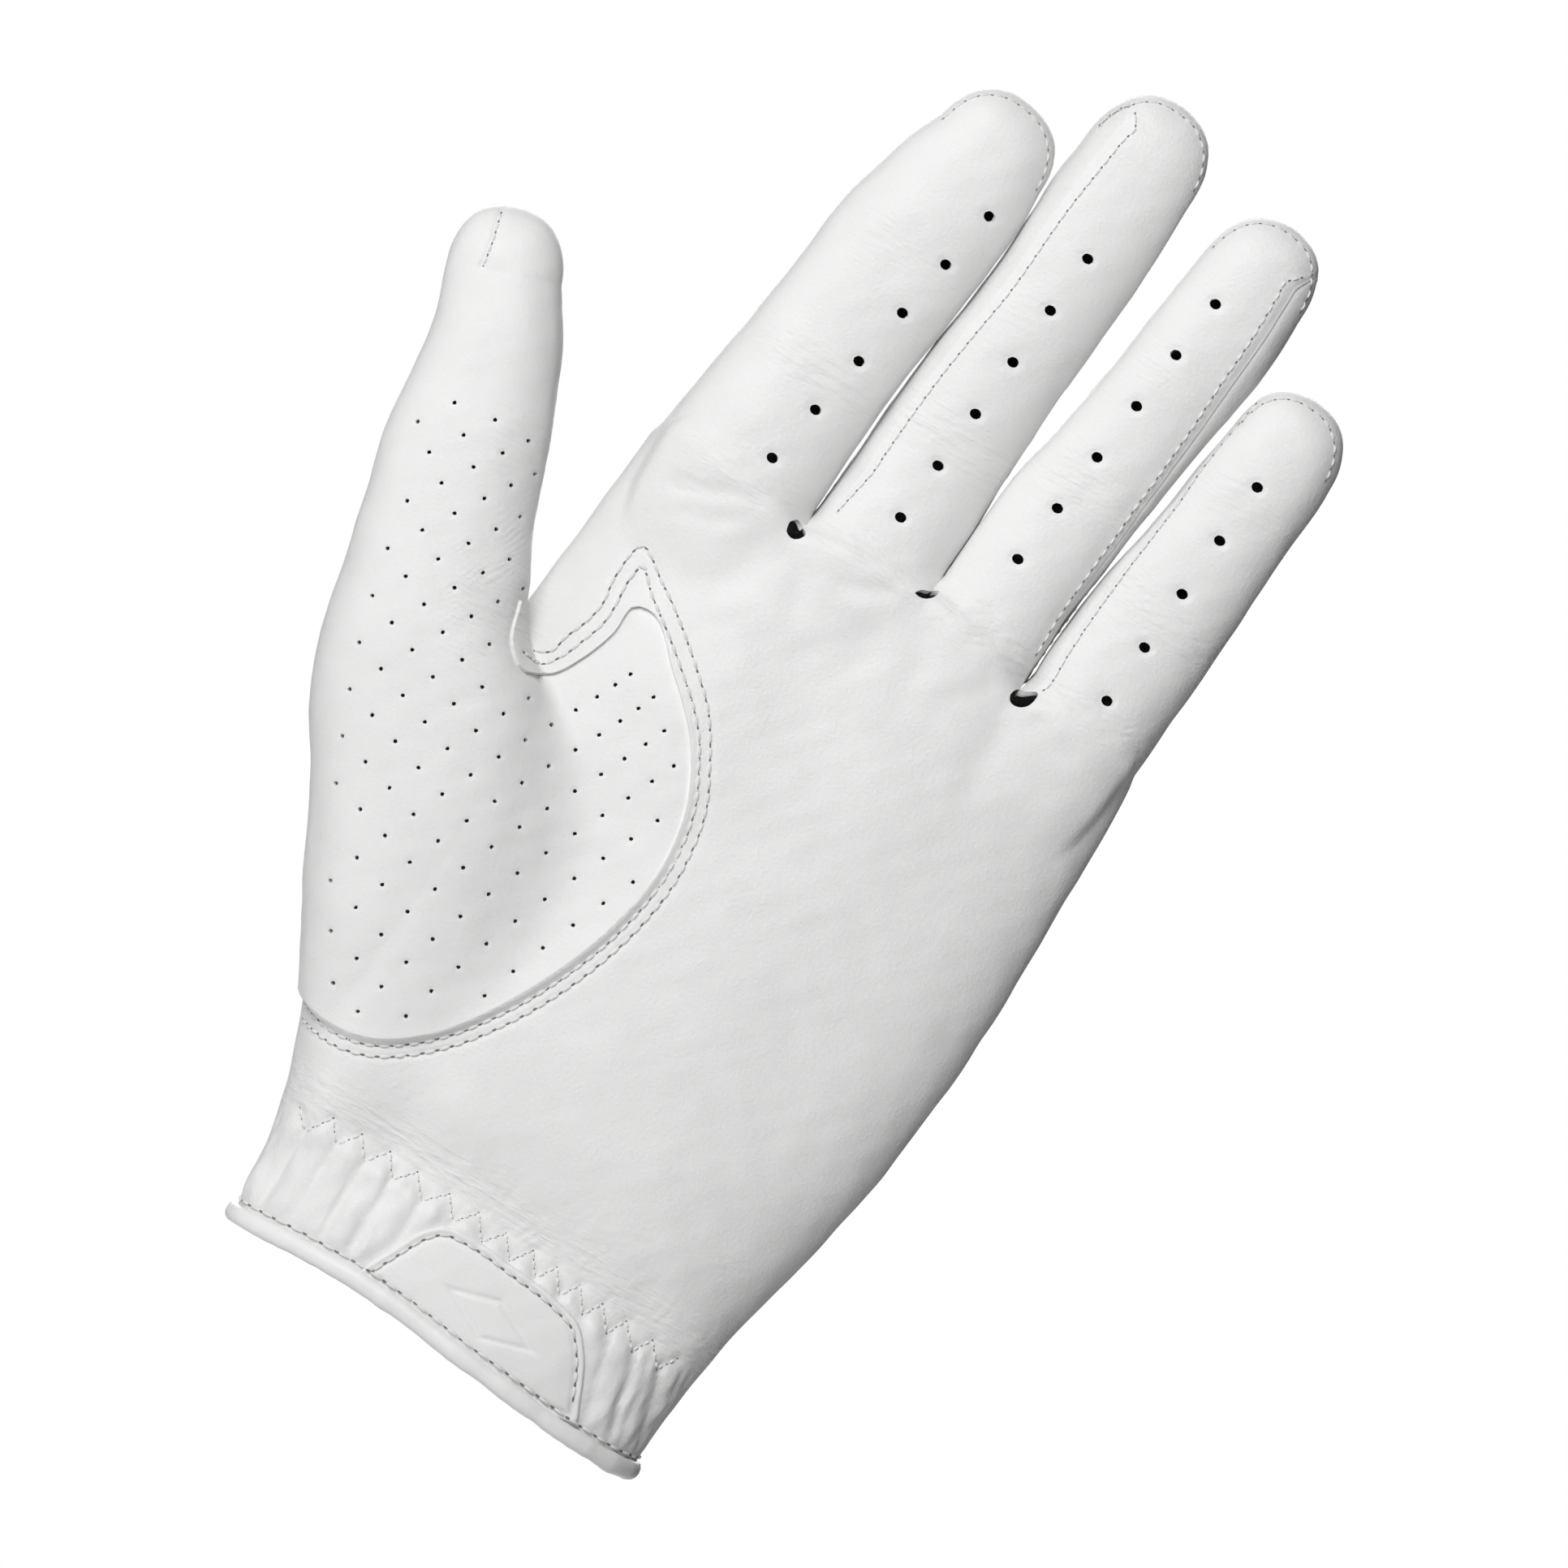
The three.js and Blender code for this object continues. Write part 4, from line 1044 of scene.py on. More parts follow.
class Stitching:
    """Stitches of one kind and the dark ovals painted as shade in their needle holes, gathered into one
    piece.
    """

    SIDES = 6
    ALONG = np.array([-0.5, -0.43, -0.2, 0.2, 0.43, 0.5])
    THICK = np.array([0.3, 0.8, 1.0, 1.0, 0.8, 0.3])
    RIM = 8
    OVAL = (1.7, 0.8)

    def __init__(self, kind):
        self.radius, self.pitch, self.length, self.hole = SEWING[kind]
        self.points, self.faces, self.which = [], [], []
        self.count = 0

    def add(self, points, faces, which):
        self.points.append(points)
        self.faces.append(faces + self.count)
        self.which.append(np.full(len(faces), which))
        self.count += len(points)

    def stitches(self, centres, along, out, length):
        """A capsule for each centre, its ends sunk into the leather."""
        aside = unit(np.cross(along, out))
        out = unit(np.cross(aside, along))
        turn = np.arange(self.SIDES) / self.SIDES * 2 * np.pi
        u = np.repeat(self.ALONG * length, self.SIDES)
        ring = np.repeat(self.THICK * self.radius, self.SIDES)
        lift = np.repeat(self.radius * (0.75 - 1.5 * np.abs(2 * self.ALONG) ** 2.5), self.SIDES)
        v = ring * np.tile(np.cos(turn), len(self.ALONG))
        w = ring * np.tile(np.sin(turn), len(self.ALONG)) + lift
        points = (centres[:, None] + u[:, None] * along[:, None] + v[:, None] * aside[:, None]
                  + w[:, None] * out[:, None])
        self.add(points.reshape(-1, 3), self.repeated(tube_faces(len(self.ALONG), self.SIDES), points), 0)

    def holes(self, centres, along, out):
        """A small dark oval at each needle hole, long in the row's direction: painted shade, as the hole
        itself is not cut.
        """
        aside = unit(np.cross(along, out))
        turn = np.arange(self.RIM) / self.RIM * 2 * np.pi
        long, wide = (size * self.hole for size in self.OVAL)
        oval = long * np.cos(turn)[:, None] * along[:, None] + wide * np.sin(turn)[:, None] * aside[:, None]
        rim = centres[:, None] + 0.05 * out[:, None] + oval
        points = np.concatenate([(centres + 0.09 * out)[:, None], rim], axis=1)
        k = np.arange(self.RIM)
        fan = np.column_stack([np.zeros(self.RIM, int), 1 + (k + 1) % self.RIM, 1 + k])
        self.add(points.reshape(-1, 3), self.repeated(fan, points), 1)

    @staticmethod
    def repeated(faces, points):
        """The faces of one stitch or hole, for each one in an array of their points."""
        number, stride = points.shape[:2]
        return (faces[None] + stride * np.arange(number)[:, None, None]).reshape(-1, 3)

    def row(self, places, normals):
        """A straight-stitch row along a path on the surface."""
        steps = np.linalg.norm(np.diff(places, axis=0), axis=1)
        at = np.concatenate([[0], np.cumsum(steps)])
        number = max(1, int(round(at[-1] / self.pitch)))
        pitch = at[-1] / number

        def along_path(s, values):
            return np.column_stack([np.interp(s, at, values[:, i]) for i in range(3)])

        def frames(s):
            along = unit(along_path(s + 0.3, places) - along_path(s - 0.3, places))
            return along_path(s, places), along, unit(along_path(s, normals))

        length = self.length * min(1.0, pitch / 2.4)
        self.stitches(*frames((np.arange(number) + 0.5) * pitch), length)
        # Dark ovals of painted shade at the needle holes.
        self.holes(*frames(np.arange(number + 1) * pitch))

    def piece(self, name):
        points = np.vstack(self.points)
        return new_piece(name, points, np.vstack(self.faces), [THREAD, NEEDLE_HOLE_SHADE],
                         face_material=np.concatenate(self.which))


def face_path(points, side, relief, step=0.8, straight=False):
    """A path over the palm or the back through points in X and Z, on the finished leather."""
    if straight:
        runs = [np.linspace(a, b, max(2, int(np.hypot(*(b - a)) / step)), endpoint=False)
                for a, b in zip(points[:-1], points[1:])]
        flat = np.vstack(runs + [points[-1:]])
    else:
        flat = curve_through(points, step)
    base, normals = on_face(flat[:, 0], flat[:, 1], side)
    return base + relief(base)[:, None] * normals, normals


# ---------------------------------------------------------------- the hand's panels

SKINS = (LEATHER_FACE, INNER_FACE)


def outside_web_holes(p):
    """Positive outside the small openings at the webs, on the palm side."""
    nearest = np.full(len(p), FAR_INSIDE)
    for outline in WEB_HOLES:
        nearest = np.minimum(nearest, -inside_distance(p[:, [0, 2]], curve_through(outline, 0.3)))
    return np.where(p[:, 1] < -1.0, nearest, FAR_INSIDE)


def outside_slit(p):
    """Positive outside the opening in the back, which narrows to its round top."""
    above = np.clip(p[:, 2] / SLIT["top"], 0, 1)
    half = SLIT["end"] + (SLIT["half"] - SLIT["end"]) * (1 - above)
    x = np.abs(p[:, 0] - SLIT["x"])
    over = np.maximum(p[:, 2] - SLIT["top"], 0)
    return np.where(p[:, 1] > 0, np.hypot(x, over) - half, FAR_INSIDE)


def thumb_side(p):
    """Positive on the thumb above its foot, where thumb_front and thumb_back take over."""
    thumb = stalls["thumb"]
    return np.minimum(thumb.local(p)[:, 2], without_thumb(p) - thumb.field(p))


def hand_bounds(p):
    """Positive on what belongs to the hand: under the fingers, off the thumb, over the cuff."""
    cuff = p[:, 2] - cuff_low(p[:, 0], p[:, 1]) - 1.9
    return -over_web_line(p), -thumb_side(p), cuff


def cut_all(skin, *tests):
    """The skin's part where every test of its points' first places is positive."""
    for test in tests:
        skin = skin.part(test(skin.base))
    return skin


def outside_pin_holes(skin):
    """Positive outside the pin holes, on the palm face of the thumb panel and the thumb."""
    usable = (skin.base[:, 1] < -2) & (skin.normal[:, 1] < -0.25)
    return np.where(usable, pin_distance(skin.base) - HOLE["radius"], FAR_INSIDE)


def panel_distance(p):
    """Positive inside the thumb panel's outline."""
    return inside_distance(p[:, [0, 2]], PANEL_OUTLINE)


def hand_part(skin, spare=0.0):
    """The part of a skin that belongs to the hand, and a spare strip round it."""
    for test in range(3):
        skin = skin.part(hand_bounds(skin.base)[test] + spare)
    return skin


def make_hand():
    skin = hand_part(skin_of(hand_field, *BOXES["hand"], HAND_STEP), SPARE)
    front = skin.part(SPARE - skin.base[:, 1])
    back = skin.part(SPARE + skin.base[:, 1])
    palm = hand_part(front.raised(palm_relief(front.base)))
    palm = cut_all(palm, lambda p: -p[:, 1], lambda p: -panel_distance(p), outside_web_holes)
    finish_piece(leather_piece("palm_leather", palm, SKINS), "leather", "hand", ["palm_leather"])
    back = hand_part(back.raised(back_relief(back.base)))
    back = cut_all(back, lambda p: p[:, 1], outside_slit)
    finish_piece(leather_piece("back_leather", back, SKINS), "leather", "hand", ["back_leather"])


def make_thumb_panel():
    skin = skin_of(hand_field, *BOXES["thumb_panel"], PANEL_STEP)
    skin = skin.part(panel_distance(skin.base) + 2.5)
    skin = skin.part(SPARE - thumb_side(skin.base))
    skin = skin.raised(panel_relief(skin.base))
    skin = cut_all(skin, lambda p: -p[:, 1], panel_distance, lambda p: -thumb_side(p))
    skin = skin.part(outside_pin_holes(skin))
    piece = leather_piece("thumb_panel", skin, (PANEL_FACE, INNER_FACE))
    finish_piece(piece, "perforated_leather", "hand", ["thumb_panel"])


def thumb_halves(p):
    """Positive in front of the line where the thumb's front and back leather meet."""
    height = stalls["thumb"].local(p)[:, 2]
    return -10.2 * smooth(-2, 34, height) - p[:, 1]


def make_thumb():
    thumb = stalls["thumb"]
    skin = skin_of(hand_field, *BOXES["thumb"], PANEL_STEP)
    skin = skin.part(thumb_side(skin.base) + SPARE)

    def seam_relief(p):
        q = thumb.local(p)
        seam = bell(thumb_halves(p), 0.5) * smooth(0, 3, q[:, 0]) * smooth(8, 14, q[:, 2])
        dart = line_distance(p[:, [0, 2]], np.array(THUMB_DART))[0]
        return panel_relief(p) - 0.35 * seam - 0.4 * bell(dart, 0.5) * smooth(-10, -14, p[:, 1])

    skin = skin.raised(seam_relief(skin.base)).part(thumb_side(skin.base))
    front = cut_all(skin, thumb_halves)
    front = front.part(outside_pin_holes(front))
    back = cut_all(skin, lambda p: -thumb_halves(p))
    for name, part, face, slot in (("thumb_front", front, PANEL_FACE, "perforated_leather"),
                                   ("thumb_back", back, LEATHER_FACE, "leather")):
        piece = leather_piece(name, part, (face, INNER_FACE))
        finish_piece(piece, slot, nodes=[name])
        thumb.on_axis(0)
        thumb.on_axis(THUMB_BLEND)
        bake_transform(piece)

    sewing = Stitching("thumb_dart")
    dart = curve_through(THUMB_DART, 0.5)
    places, normals = on_face(dart[:, 0], dart[:, 1], -1)
    places = places + seam_relief(places)[:, None] * normals
    in_front = places[:, 1] < -12.5
    sewing.row(places[in_front], normals[in_front])
    piece = sewing.piece("thumb_thread")
    finish_piece(piece, "thread")
    thumb.on_axis(0)
    thumb.on_axis(THUMB_BLEND)
    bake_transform(piece)


# ---------------------------------------------------------------- fingers


def make_finger(name):
    stall = stalls[name]
    field = finger_field(name)
    (left, front, low), (right, back, over_tip) = BOXES["finger"]
    high = stall.length + over_tip
    corners = stall.world([[left, front, low], [right, back, high], [right, front, low], [left, back, high]])
    skin = skin_of(field, corners.min(0), corners.max(0), STALL_STEP)

    def own_side(p):
        clear = np.full(len(p), FAR_INSIDE)
        for other in neighbours(FINGERS, FINGERS.index(name)):
            past = stalls[other].field(p) - stall.field(p) + 3 * smooth(2, 5, over_web_line(p))
            clear = np.minimum(clear, past)
        return clear

    skin = skin.part(over_web_line(skin.base) + SPARE)
    sunk = skin.raised(finger_relief(name, skin.base) - 0.3)
    skin = skin.raised(finger_relief(name, skin.base))
    split = stall.start + BLEND_RUN + SPLIT_ABOVE

    def in_front(p):
        q = stall.local(p)
        return strip_edges(stall, q)[0] - q[:, 1]

    def behind(p):
        q = stall.local(p)
        return q[:, 1] - strip_edges(stall, q)[1]

    def strip(side):
        def test(p):
            q = stall.local(p)
            front, back = strip_edges(stall, q)
            under_tip = stall.length - 2.4 - q[:, 2]
            return np.min([q[:, 1] - front, back - q[:, 1], side * q[:, 0], under_tip], axis=0)
        return test

    def lower(p):
        return split - stall.local(p)[:, 2]

    def upper(p):
        return stall.local(p)[:, 2] - split

    panels = {"front": (skin, in_front, SKINS, "leather"), "back": (skin, behind, SKINS, "leather")}
    for web in stall.webs:
        side = -1 if web == "left" else 1
        # The strips' darker leather is painted shade.
        panels[f"fourchette_{web}"] = (sunk, strip(side), (SHADED_STRIP_FACE, INNER_FACE), "fourchette")
    cuts = {"base": (over_web_line, own_side, lower), "tip": (upper,)}
    for part, tests in cuts.items():
        for panel, (whole, test, faces, slot) in panels.items():
            piece_skin = cut_all(whole, *tests, test)
            if panel == "front":
                holes = np.minimum(vent_distance(stall, stall.local(piece_skin.base)),
                                   outside_web_holes(piece_skin.base))
                piece_skin = piece_skin.part(holes)
            node = f"{name}_{part}_{panel}"
            piece = leather_piece(node, piece_skin, faces)
            finish_piece(piece, slot, nodes=[node])
            bend_with(piece, name, part)
    make_finger_thread(name, field, split)


def bend_with(piece, name, part):
    """Bakes a finger's piece's place into its mesh. The ends of its bend across the knuckle (base) or the
    middle joint (tip) are worked out but not used.
    """
    stall = stalls[name]
    if part == "base":
        start, end = stall.start, stall.start + BLEND_RUN
        stall.on_axis(start)
        stall.on_axis(end)
        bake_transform(piece)
    else:
        start, end = stall.bend - JOINT_RUN, stall.bend + JOINT_RUN
        stall.on_axis(start)
        stall.on_axis(end)
        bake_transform(piece)


def make_finger_thread(name, field, split):
    """Rows of stitches beside the strips that can be seen, and round the fingertip."""
    stall = stalls[name]
    lowest = stall.start + 2.5
    for part, low, high in (("base", lowest, split - 0.2), ("tip", split + 0.2, stall.length - 5.0)):
        sewing = Stitching("finger")
        for web in (web for web, rows in stall.webs.items() if rows is not HIDDEN):
            side = -1 if web == "left" else 1
            z = np.arange(low, high, 0.6)
            line = np.column_stack([z * 0 + side * 30, z * 0, z])
            for edge, inwards in zip(strip_edges(stall, line), (-0.7, 1.1)):
                line[:, 1] = edge + inwards
                sew_finger(sewing, name, field, stall.world(line), -side * stall.axes[0])
        if part == "tip":
            turn = np.radians(np.arange(20, 161, 2.0))
            away = np.column_stack([np.cos(turn), turn * 0, np.sin(turn)])
            line = away * 30 + [0, -3.6, stall.length - stall.dome]
            sew_finger(sewing, name, field, stall.world(line), -away @ stall.axes)
        if sewing.points:
            piece = sewing.piece(f"{name}_{part}_thread")
            finish_piece(piece, "thread")
            bend_with(piece, name, part)


def sew_finger(sewing, name, field, line, direction):
    """A row where rays from a line meet the finger."""
    places = cast(field, line, direction, 30.0)
    normals = unit(gradient(field, places))
    places = places + finger_relief(name, places)[:, None] * normals
    sewing.row(places, normals)


# ---------------------------------------------------------------- pieces laid on the hand


def laid_skin(outline, side, relief, step):
    """The hand's face under an outline, as a skin to build on."""
    low, high = outline.min(0) - 1.0, outline.max(0) + 1.0
    x = np.arange(low[0], high[0], step)
    z = np.arange(low[1], high[1], step)
    grid_x, grid_z = (g.ravel() for g in np.meshgrid(x, z, indexing="ij"))
    base, normals = on_face(grid_x, grid_z, side)
    index = np.arange(len(base)).reshape(len(x), len(z))
    a, b, c, d = index[:-1, :-1], index[1:, :-1], index[1:, 1:], index[:-1, 1:]
    quads = np.stack([a, b, c, d], -1).reshape(-1, 4)
    if side > 0:
        quads = quads[:, ::-1]
    return Skin(np.hstack([base + relief(base)[:, None] * normals, normals, base]), halves_of(quads))


def laid_piece(name, outline, side, layer, round_edge, material, relief, pattern=None, step=SHEET_STEP):
    """A flat piece on the hand: its underside at a height over the leather, its edge rounded over."""
    outline = np.array(outline, float)
    low, thickness = layer
    skin = laid_skin(outline, side, relief, step)
    skin = skin.part(inside_distance(skin.base[:, [0, 2]], outline))
    inwards = np.maximum(inside_distance(skin.base[:, [0, 2]], outline), 0)
    rounding = 1 - np.minimum(inwards / round_edge, 1)
    height = thickness * (0.35 + 0.65 * np.sqrt(1 - rounding ** 2))
    if pattern is not None:
        height = height + pattern(skin.base, inwards)
    top = skin.raised(height + low)
    under = skin.place + low * skin.normal
    n = len(under)
    a, b = edge_of(top.faces).T
    faces = np.vstack([top.faces, top.faces[:, ::-1] + n,
                       np.column_stack([b, a, a + n]), np.column_stack([b, a + n, b + n])])
    rest = np.vstack([top.base, under])
    return new_piece(name, np.vstack([top.place, under]), faces, [material], rest=rest)


def rounded_tab(margin):
    """The closure tab's outline: square at the hinge, round at the free end."""
    low, high, corner = TAB["low"], TAB["high"], TAB["corner"]
    turn = np.radians(np.linspace(90, 180, 7))
    arc = np.column_stack([np.cos(turn), np.sin(turn)]) * (corner - margin)
    centre = TAB["end"] + corner
    hinge = TAB["hinge"] + 3 - margin
    upper = arc + [centre, high - corner]
    lower = arc[::-1] * [1, -1] + [centre, low + corner]
    return np.vstack([[[hinge, low + margin], [hinge, high - margin]], upper, lower])


def patch_pattern(p, inwards):
    """The heel patch: a stitched channel near its edge and a plain pressed lozenge."""
    x = p[:, 0] - EMBLEM["x"]
    z = p[:, 2] - EMBLEM["z"] + EMBLEM["slope"] * x
    wide, high = EMBLEM["wide"], EMBLEM["high"]
    from_line = (np.abs(x) / wide + np.abs(z) / high - 1) * wide * high / math.hypot(wide, high)
    return -0.3 * bell(inwards - 1.25, 0.5) - 0.26 * bell(from_line, 0.42) + 0.12 * smooth(1.5, 5, inwards)


def make_heel_patch():
    patch = np.vstack([PATCH_OUTLINE[:1], curve_through(HEEL_PATCH[:10], 1.0), PATCH_OUTLINE[10:]])
    piece = laid_piece("heel_patch", patch, -1, LAYERS["heel_patch"], 0.55, PANEL_FACE, palm_relief,
                       patch_pattern, PATCH_STEP)
    finish_piece(piece, "leather", "hand", ["heel_patch"])

    def over_patch(p):
        return palm_relief(p) + 0.5

    sewing = Stitching("heel_patch")
    row = offset_line(curve_through(HEEL_PATCH[:10], 0.8), 1.25)
    sewing.row(*face_path(row[3:-3], -1, over_patch))
    finish_piece(sewing.piece("heel_patch_thread"), "thread", "hand", ["heel_patch_thread"])


def make_closure():
    """The tab with its lining and hook patch, and the loop patch that it fastens to."""

    def fuzz(p, inwards):
        return 0.16 * ripple(p, 1.3, 71) * smooth(0, 1, inwards)

    def seam_channel(p, inwards):
        return -0.22 * bell(inwards - 2.0, 0.55) + 0.2 * smooth(1.5, 7, inwards) + 0.12 * ripple(p, 11, 72)

    for name, body in (("loop_patch", "hand"), ("tab_hook_patch", "tab")):
        piece = laid_piece(name, rectangle(name), 1, LAYERS[name], 0.3, HOOK_LOOP, back_relief, fuzz)
        finish_piece(piece, "hook_and_loop", body, [name])
    for name, margin, face, slot, pattern in (
            ("tab_lining", 1.0, LINING_FACE, "tab_lining", None),
            ("tab_leather", 0.0, LEATHER_FACE, "leather", seam_channel)):
        piece = laid_piece(name, rounded_tab(margin), 1, LAYERS[name], 0.45, face, tab_bed, pattern)
        finish_piece(piece, slot, nodes=[name])
        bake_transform(piece)

    low, thickness = LAYERS["tab_leather"]

    def over_tab(p):
        return tab_bed(p) + low + thickness - 0.1

    sewing = Stitching("tab")
    row = np.roll(rounded_tab(2.0), -1, axis=0)
    sewing.row(*face_path(row, 1, over_tab, straight=True))
    piece = sewing.piece("tab_thread")
    finish_piece(piece, "thread", nodes=["tab_thread"])
    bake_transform(piece)


def tab_bed(p):
    """The tab lies on its hook patch at the free end and runs down to the leather at its hinge."""
    drop = smooth(TAB_BEND[1], TAB_BEND[0], p[:, 0])
    return soft_relief(p) - 2.3 * drop


def rectangle(name):
    """A piece's corners."""
    one, other, low, high = RECTANGLES[name]
    return [(one, low), (one, high), (other, high), (other, low)]


def make_inner_bands():
    """Elastic inside the wrist and over the knuckles, and the blank size label."""
    def ribs(p, inwards):
        return 0.12 * np.sin(2 * np.pi * p[:, 0] / 1.6) * smooth(0, 0.8, inwards)

    def sunk(p):
        return np.full(len(p), -1.9)

    bands = (
        ("wrist_elastic", -1, ELASTIC, "elastic", ribs),
        ("knuckle_elastic", 1, ELASTIC, "elastic", ribs),
        ("size_label", 1, LABEL, "label", None),
    )
    for name, side, face, slot, pattern in bands:
        piece = laid_piece(name, rectangle(name), side, LAYERS["band"], 0.3, face, sunk, pattern)
        finish_piece(piece, slot, "hand", [name])


# ---------------------------------------------------------------- rolled edges


def rolled_edge(name, path, out, half_depth, half_height, slot, nodes, seed):
    """A rolled leather edge along a path, a little uneven, with closed ends."""
    sides = 14
    along = unit(np.gradient(path, axis=0))
    up = unit(np.cross(out, along))
    turn = np.arange(sides) / sides * 2 * np.pi
    uneven = 1 + 0.05 * ripple(path, 7, seed) + 0.035 * ripple(path, 2.6, seed + 1)
    ends = np.minimum(np.arange(len(path)), np.arange(len(path))[::-1])
    size = uneven * (1 - 0.75 * np.exp(-ends / 1.2))
    ring = (half_depth * np.cos(turn)[None, :, None] * out[:, None]
            + half_height * np.sin(turn)[None, :, None] * up[:, None])
    points = (path[:, None] + size[:, None, None] * ring).reshape(-1, 3)
    faces = tube_faces(len(path), sides)
    middle = points[faces[sides]].mean(0) - path[1]
    a, b, c = points[faces[sides]]
    if np.cross(b - a, c - a) @ middle < 0:
        faces = faces[:, ::-1]
    piece = new_piece(name, points, faces, [ROLLED_FACE])
    finish_piece(piece, slot, "hand", nodes)


def cuff_path(height, start, sweep, count=260):
    """Round the hand near the cuff, at a height over its lower edge."""
    angles = start + np.linspace(0, sweep, count)
    direction = np.column_stack([np.cos(angles) * 36, np.sin(angles) * 16.4])
    places = np.column_stack([direction, np.zeros(count)])
    for _ in range(3):
        z = cuff_low(places[:, 0], places[:, 1]) + height
        inner, outer = np.zeros(count), np.full(count, 2.0)
        for _ in range(22):
            middle = (inner + outer) / 2
            trial = np.column_stack([direction * middle[:, None], z])
            outside = hand_field(trial) > 0
            outer = np.where(outside, middle, outer)
            inner = np.where(outside, inner, middle)
        places = np.column_stack([direction * outer[:, None], z])
    normals = unit(gradient(hand_field, places) * [1, 1, 0])
    return places, normals


def make_edges():
    """The rolled edges of the cuff and of the opening in the back."""
    start = math.pi / 2 + 0.21
    sweep = 2 * math.pi - 0.40
    path, out = cuff_path(BINDING[1], start, sweep)
    relief = soft_relief(path) + 0.15
    rolled_edge("cuff_binding", path + relief[:, None] * out, out, *BINDING, "binding", ["cuff_binding"], 81)

    half, x, top = SLIT["half"], SLIT["x"], SLIT["top"]
    left = np.column_stack([x - np.linspace(half, 1.0, 90), np.linspace(1.6, top - 2.4, 90)])
    turn = np.radians(np.linspace(180, 0, 9))[1:-1]
    bend = np.column_stack([x + 1.0 * np.cos(turn), top - 2.0 + 1.4 * np.sin(turn)])
    right = left[::-1] * [-1, 1] + [2 * x, 0]
    rim = np.vstack([left, bend, right])
    base, normals = on_face(rim[:, 0], rim[:, 1], 1)
    path = base + (back_relief(base) - 0.25)[:, None] * normals
    rolled_edge("slit_binding", path, normals, 0.75, 0.85, "binding", ["slit_binding"], 84)


# ---------------------------------------------------------------- sewing on the hand


def make_hand_threads():
    for node, row in zip(("thumb_seam_thread_inner", "thumb_seam_thread_outer"), seam_rows):
        sewing = Stitching("thumb_seam")
        places, normals = face_path(row, -1, palm_relief, straight=True)
        in_front = places[:, 1] < -3
        sewing.row(places[in_front], normals[in_front])
        finish_piece(sewing.piece(node), "thread", "hand", [node])

    sewing = Stitching("zigzag")
    corners = zigzag_line()
    for a, b in zip(corners[:-1], corners[1:]):
        sewing.row(*face_path(np.array([a, b]), -1, palm_relief, 0.4, straight=True))
    finish_piece(sewing.piece("wrist_zigzag_thread"), "thread", "hand", ["wrist_zigzag_thread"])

    sewing = Stitching("cuff")
    path, out = cuff_path(3.75, math.pi / 2 + 0.24, 2 * math.pi - 0.46, 420)
    patch = smooth(-0.6, 0.4, inside_distance(path[:, [0, 2]], PATCH_OUTLINE)) * (path[:, 1] < 0)
    height = np.where(path[:, 1] < 0, palm_relief(path), back_relief(path)) + 0.62 * patch
    sewing.row(path + height[:, None] * out, out)
    finish_piece(sewing.piece("cuff_thread"), "thread", "hand")

    sewing = Stitching("knuckle")
    band = KNUCKLE_BAND
    for z in (band["low"], (band["low"] + band["high"]) / 2, band["high"]):
        line = np.array([[band["left"], z], [band["right"], z]])
        sewing.row(*face_path(line, 1, back_relief, 0.7, straight=True))
    finish_piece(sewing.piece("knuckle_thread"), "thread", "hand")


# ---------------------------------------------------------------- stage


def make_floor():
    mesh = bpy.data.meshes.new("floor")
    sides, radius = FLOOR["sides"], FLOOR["radius"]
    turns = np.linspace(0, 2 * math.pi, sides + 1)[:-1]
    corners = [(math.cos(turn) * radius, math.sin(turn) * radius, FLOOR["height"]) for turn in turns]
    mesh.from_pydata(corners, [], [list(range(sides))])
    material, nodes, links, principled, place = shader("pale_floor", (0.80, 0.80, 0.80), 0.9)
    tone = noise_node(nodes, links, place, 2.0)
    vary(nodes, links, tone.outputs["Fac"], principled.inputs["Base Color"],
         (0.79, 0.79, 0.79), (0.81, 0.81, 0.81))
    mesh.materials.append(material)
    floor = bpy.data.objects.new("floor", mesh)
    bpy.context.collection.objects.link(floor)


def area_light(name, place, size, power):
    """A round lamp that points at the middle of the glove."""
    light = bpy.data.lights.new(name, "AREA")
    light.shape = "DISK"
    light.size = size
    light.energy = power
    lamp = bpy.data.objects.new(name, light)
    lamp.location = place
    direction = Vector((0, 0, PICTURE["centre"][1])) - lamp.location
    lamp.rotation_mode = "QUATERNION"
    lamp.rotation_quaternion = direction.to_track_quat("-Z", "Y")
    bpy.context.collection.objects.link(lamp)


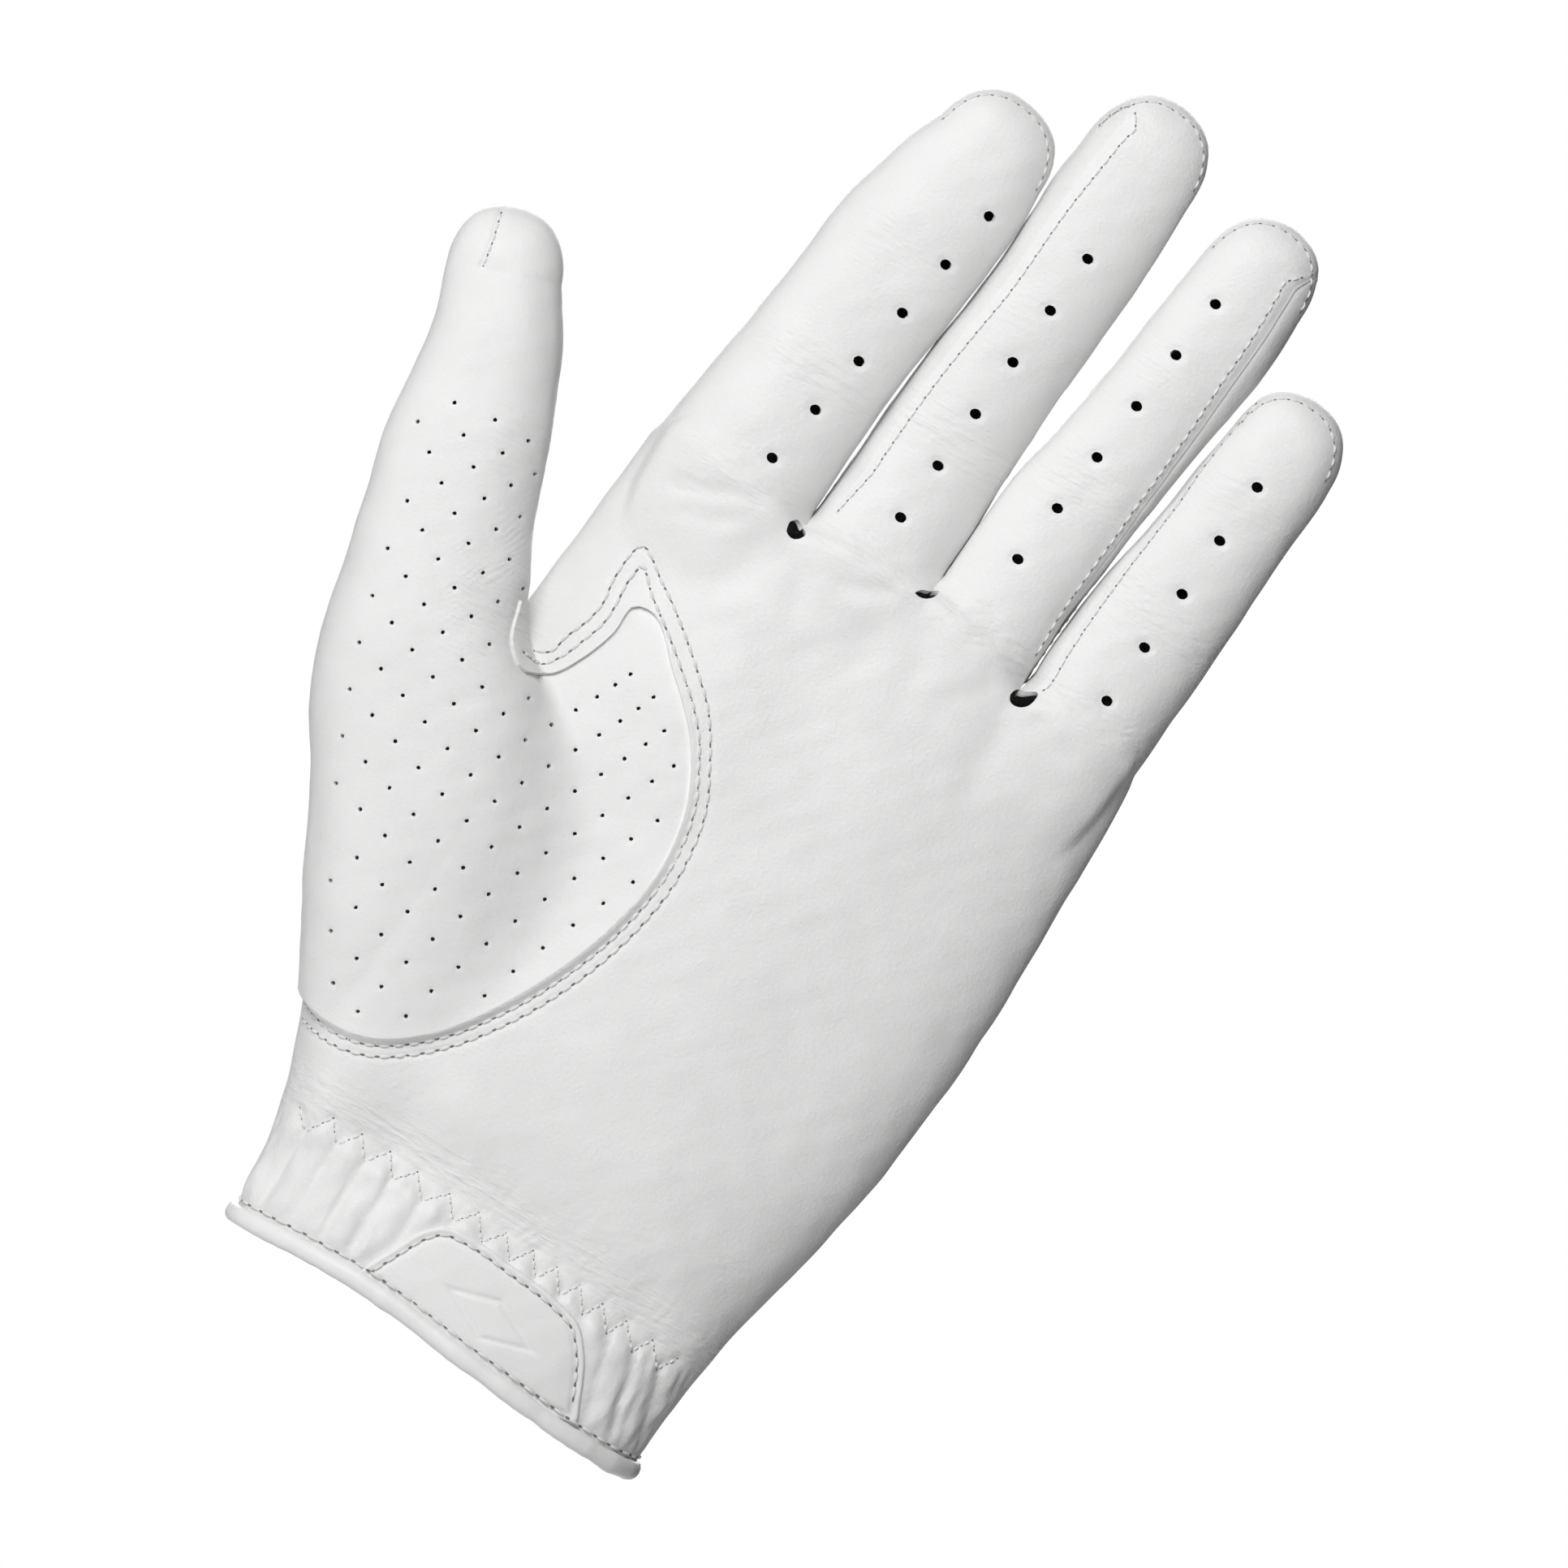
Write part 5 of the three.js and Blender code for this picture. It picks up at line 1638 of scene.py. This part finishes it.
def make_world():
    """White behind the object, and a dimmer, even light on it."""
    world = bpy.data.worlds.new("studio")
    world.use_nodes = True
    nodes, links = world.node_tree.nodes, world.node_tree.links
    background = nodes["Background"]
    background.inputs["Color"].default_value = (1, 1, 1, 1)
    direction = nodes.new("ShaderNodeTexCoord")
    parts = nodes.new("ShaderNodeSeparateXYZ")
    links.new(direction.outputs["Generated"], parts.inputs["Vector"])
    light = nodes.new("ShaderNodeMapRange")
    light.interpolation_type = "SMOOTHSTEP"
    light.inputs["From Min"].default_value = 0.35
    light.inputs["From Max"].default_value = -0.65
    light.inputs["To Min"].default_value, light.inputs["To Max"].default_value = WORLD_LIGHT
    links.new(parts.outputs["X"], light.inputs["Value"])
    seen = nodes.new("ShaderNodeLightPath")
    strength = nodes.new("ShaderNodeMix")
    strength.inputs["B"].default_value = 1.0
    links.new(seen.outputs["Is Camera Ray"], strength.inputs["Factor"])
    links.new(light.outputs["Result"], strength.inputs["A"])
    links.new(strength.outputs["Result"], background.inputs["Strength"])
    bpy.context.scene.world = world
    bpy.context.scene.view_settings.view_transform = "Standard"


def make_camera():
    """Square on to the palm, a long way off, and rolled so that the fingers lean to the right."""
    data = bpy.data.cameras.new("camera")
    data.sensor_width = 36.0
    data.lens = 36.0 * PICTURE["distance"] / PICTURE["side"]
    data.clip_start = 0.01
    camera = bpy.data.objects.new("camera", data)
    roll = math.radians(PICTURE["roll"])
    right = (math.cos(roll), 0, math.sin(roll))
    up = (-math.sin(roll), 0, math.cos(roll))
    back = (0, -1, 0)
    x, z = PICTURE["centre"]
    camera.matrix_world = Matrix([
        (right[0], up[0], back[0], x),
        (right[1], up[1], back[1], -PICTURE["distance"]),
        (right[2], up[2], back[2], z),
        (0, 0, 0, 1),
    ])
    bpy.context.collection.objects.link(camera)
    bpy.context.scene.camera = camera


def make_stage():
    make_camera()
    make_floor()
    make_world()
    for name, lamp in LAMPS.items():
        area_light(name, *lamp)


make_stage()
make_hand()
make_thumb_panel()
make_thumb()
for finger in FINGERS:
    make_finger(finger)
make_heel_patch()
make_closure()
make_inner_bands()
make_edges()
make_hand_threads()
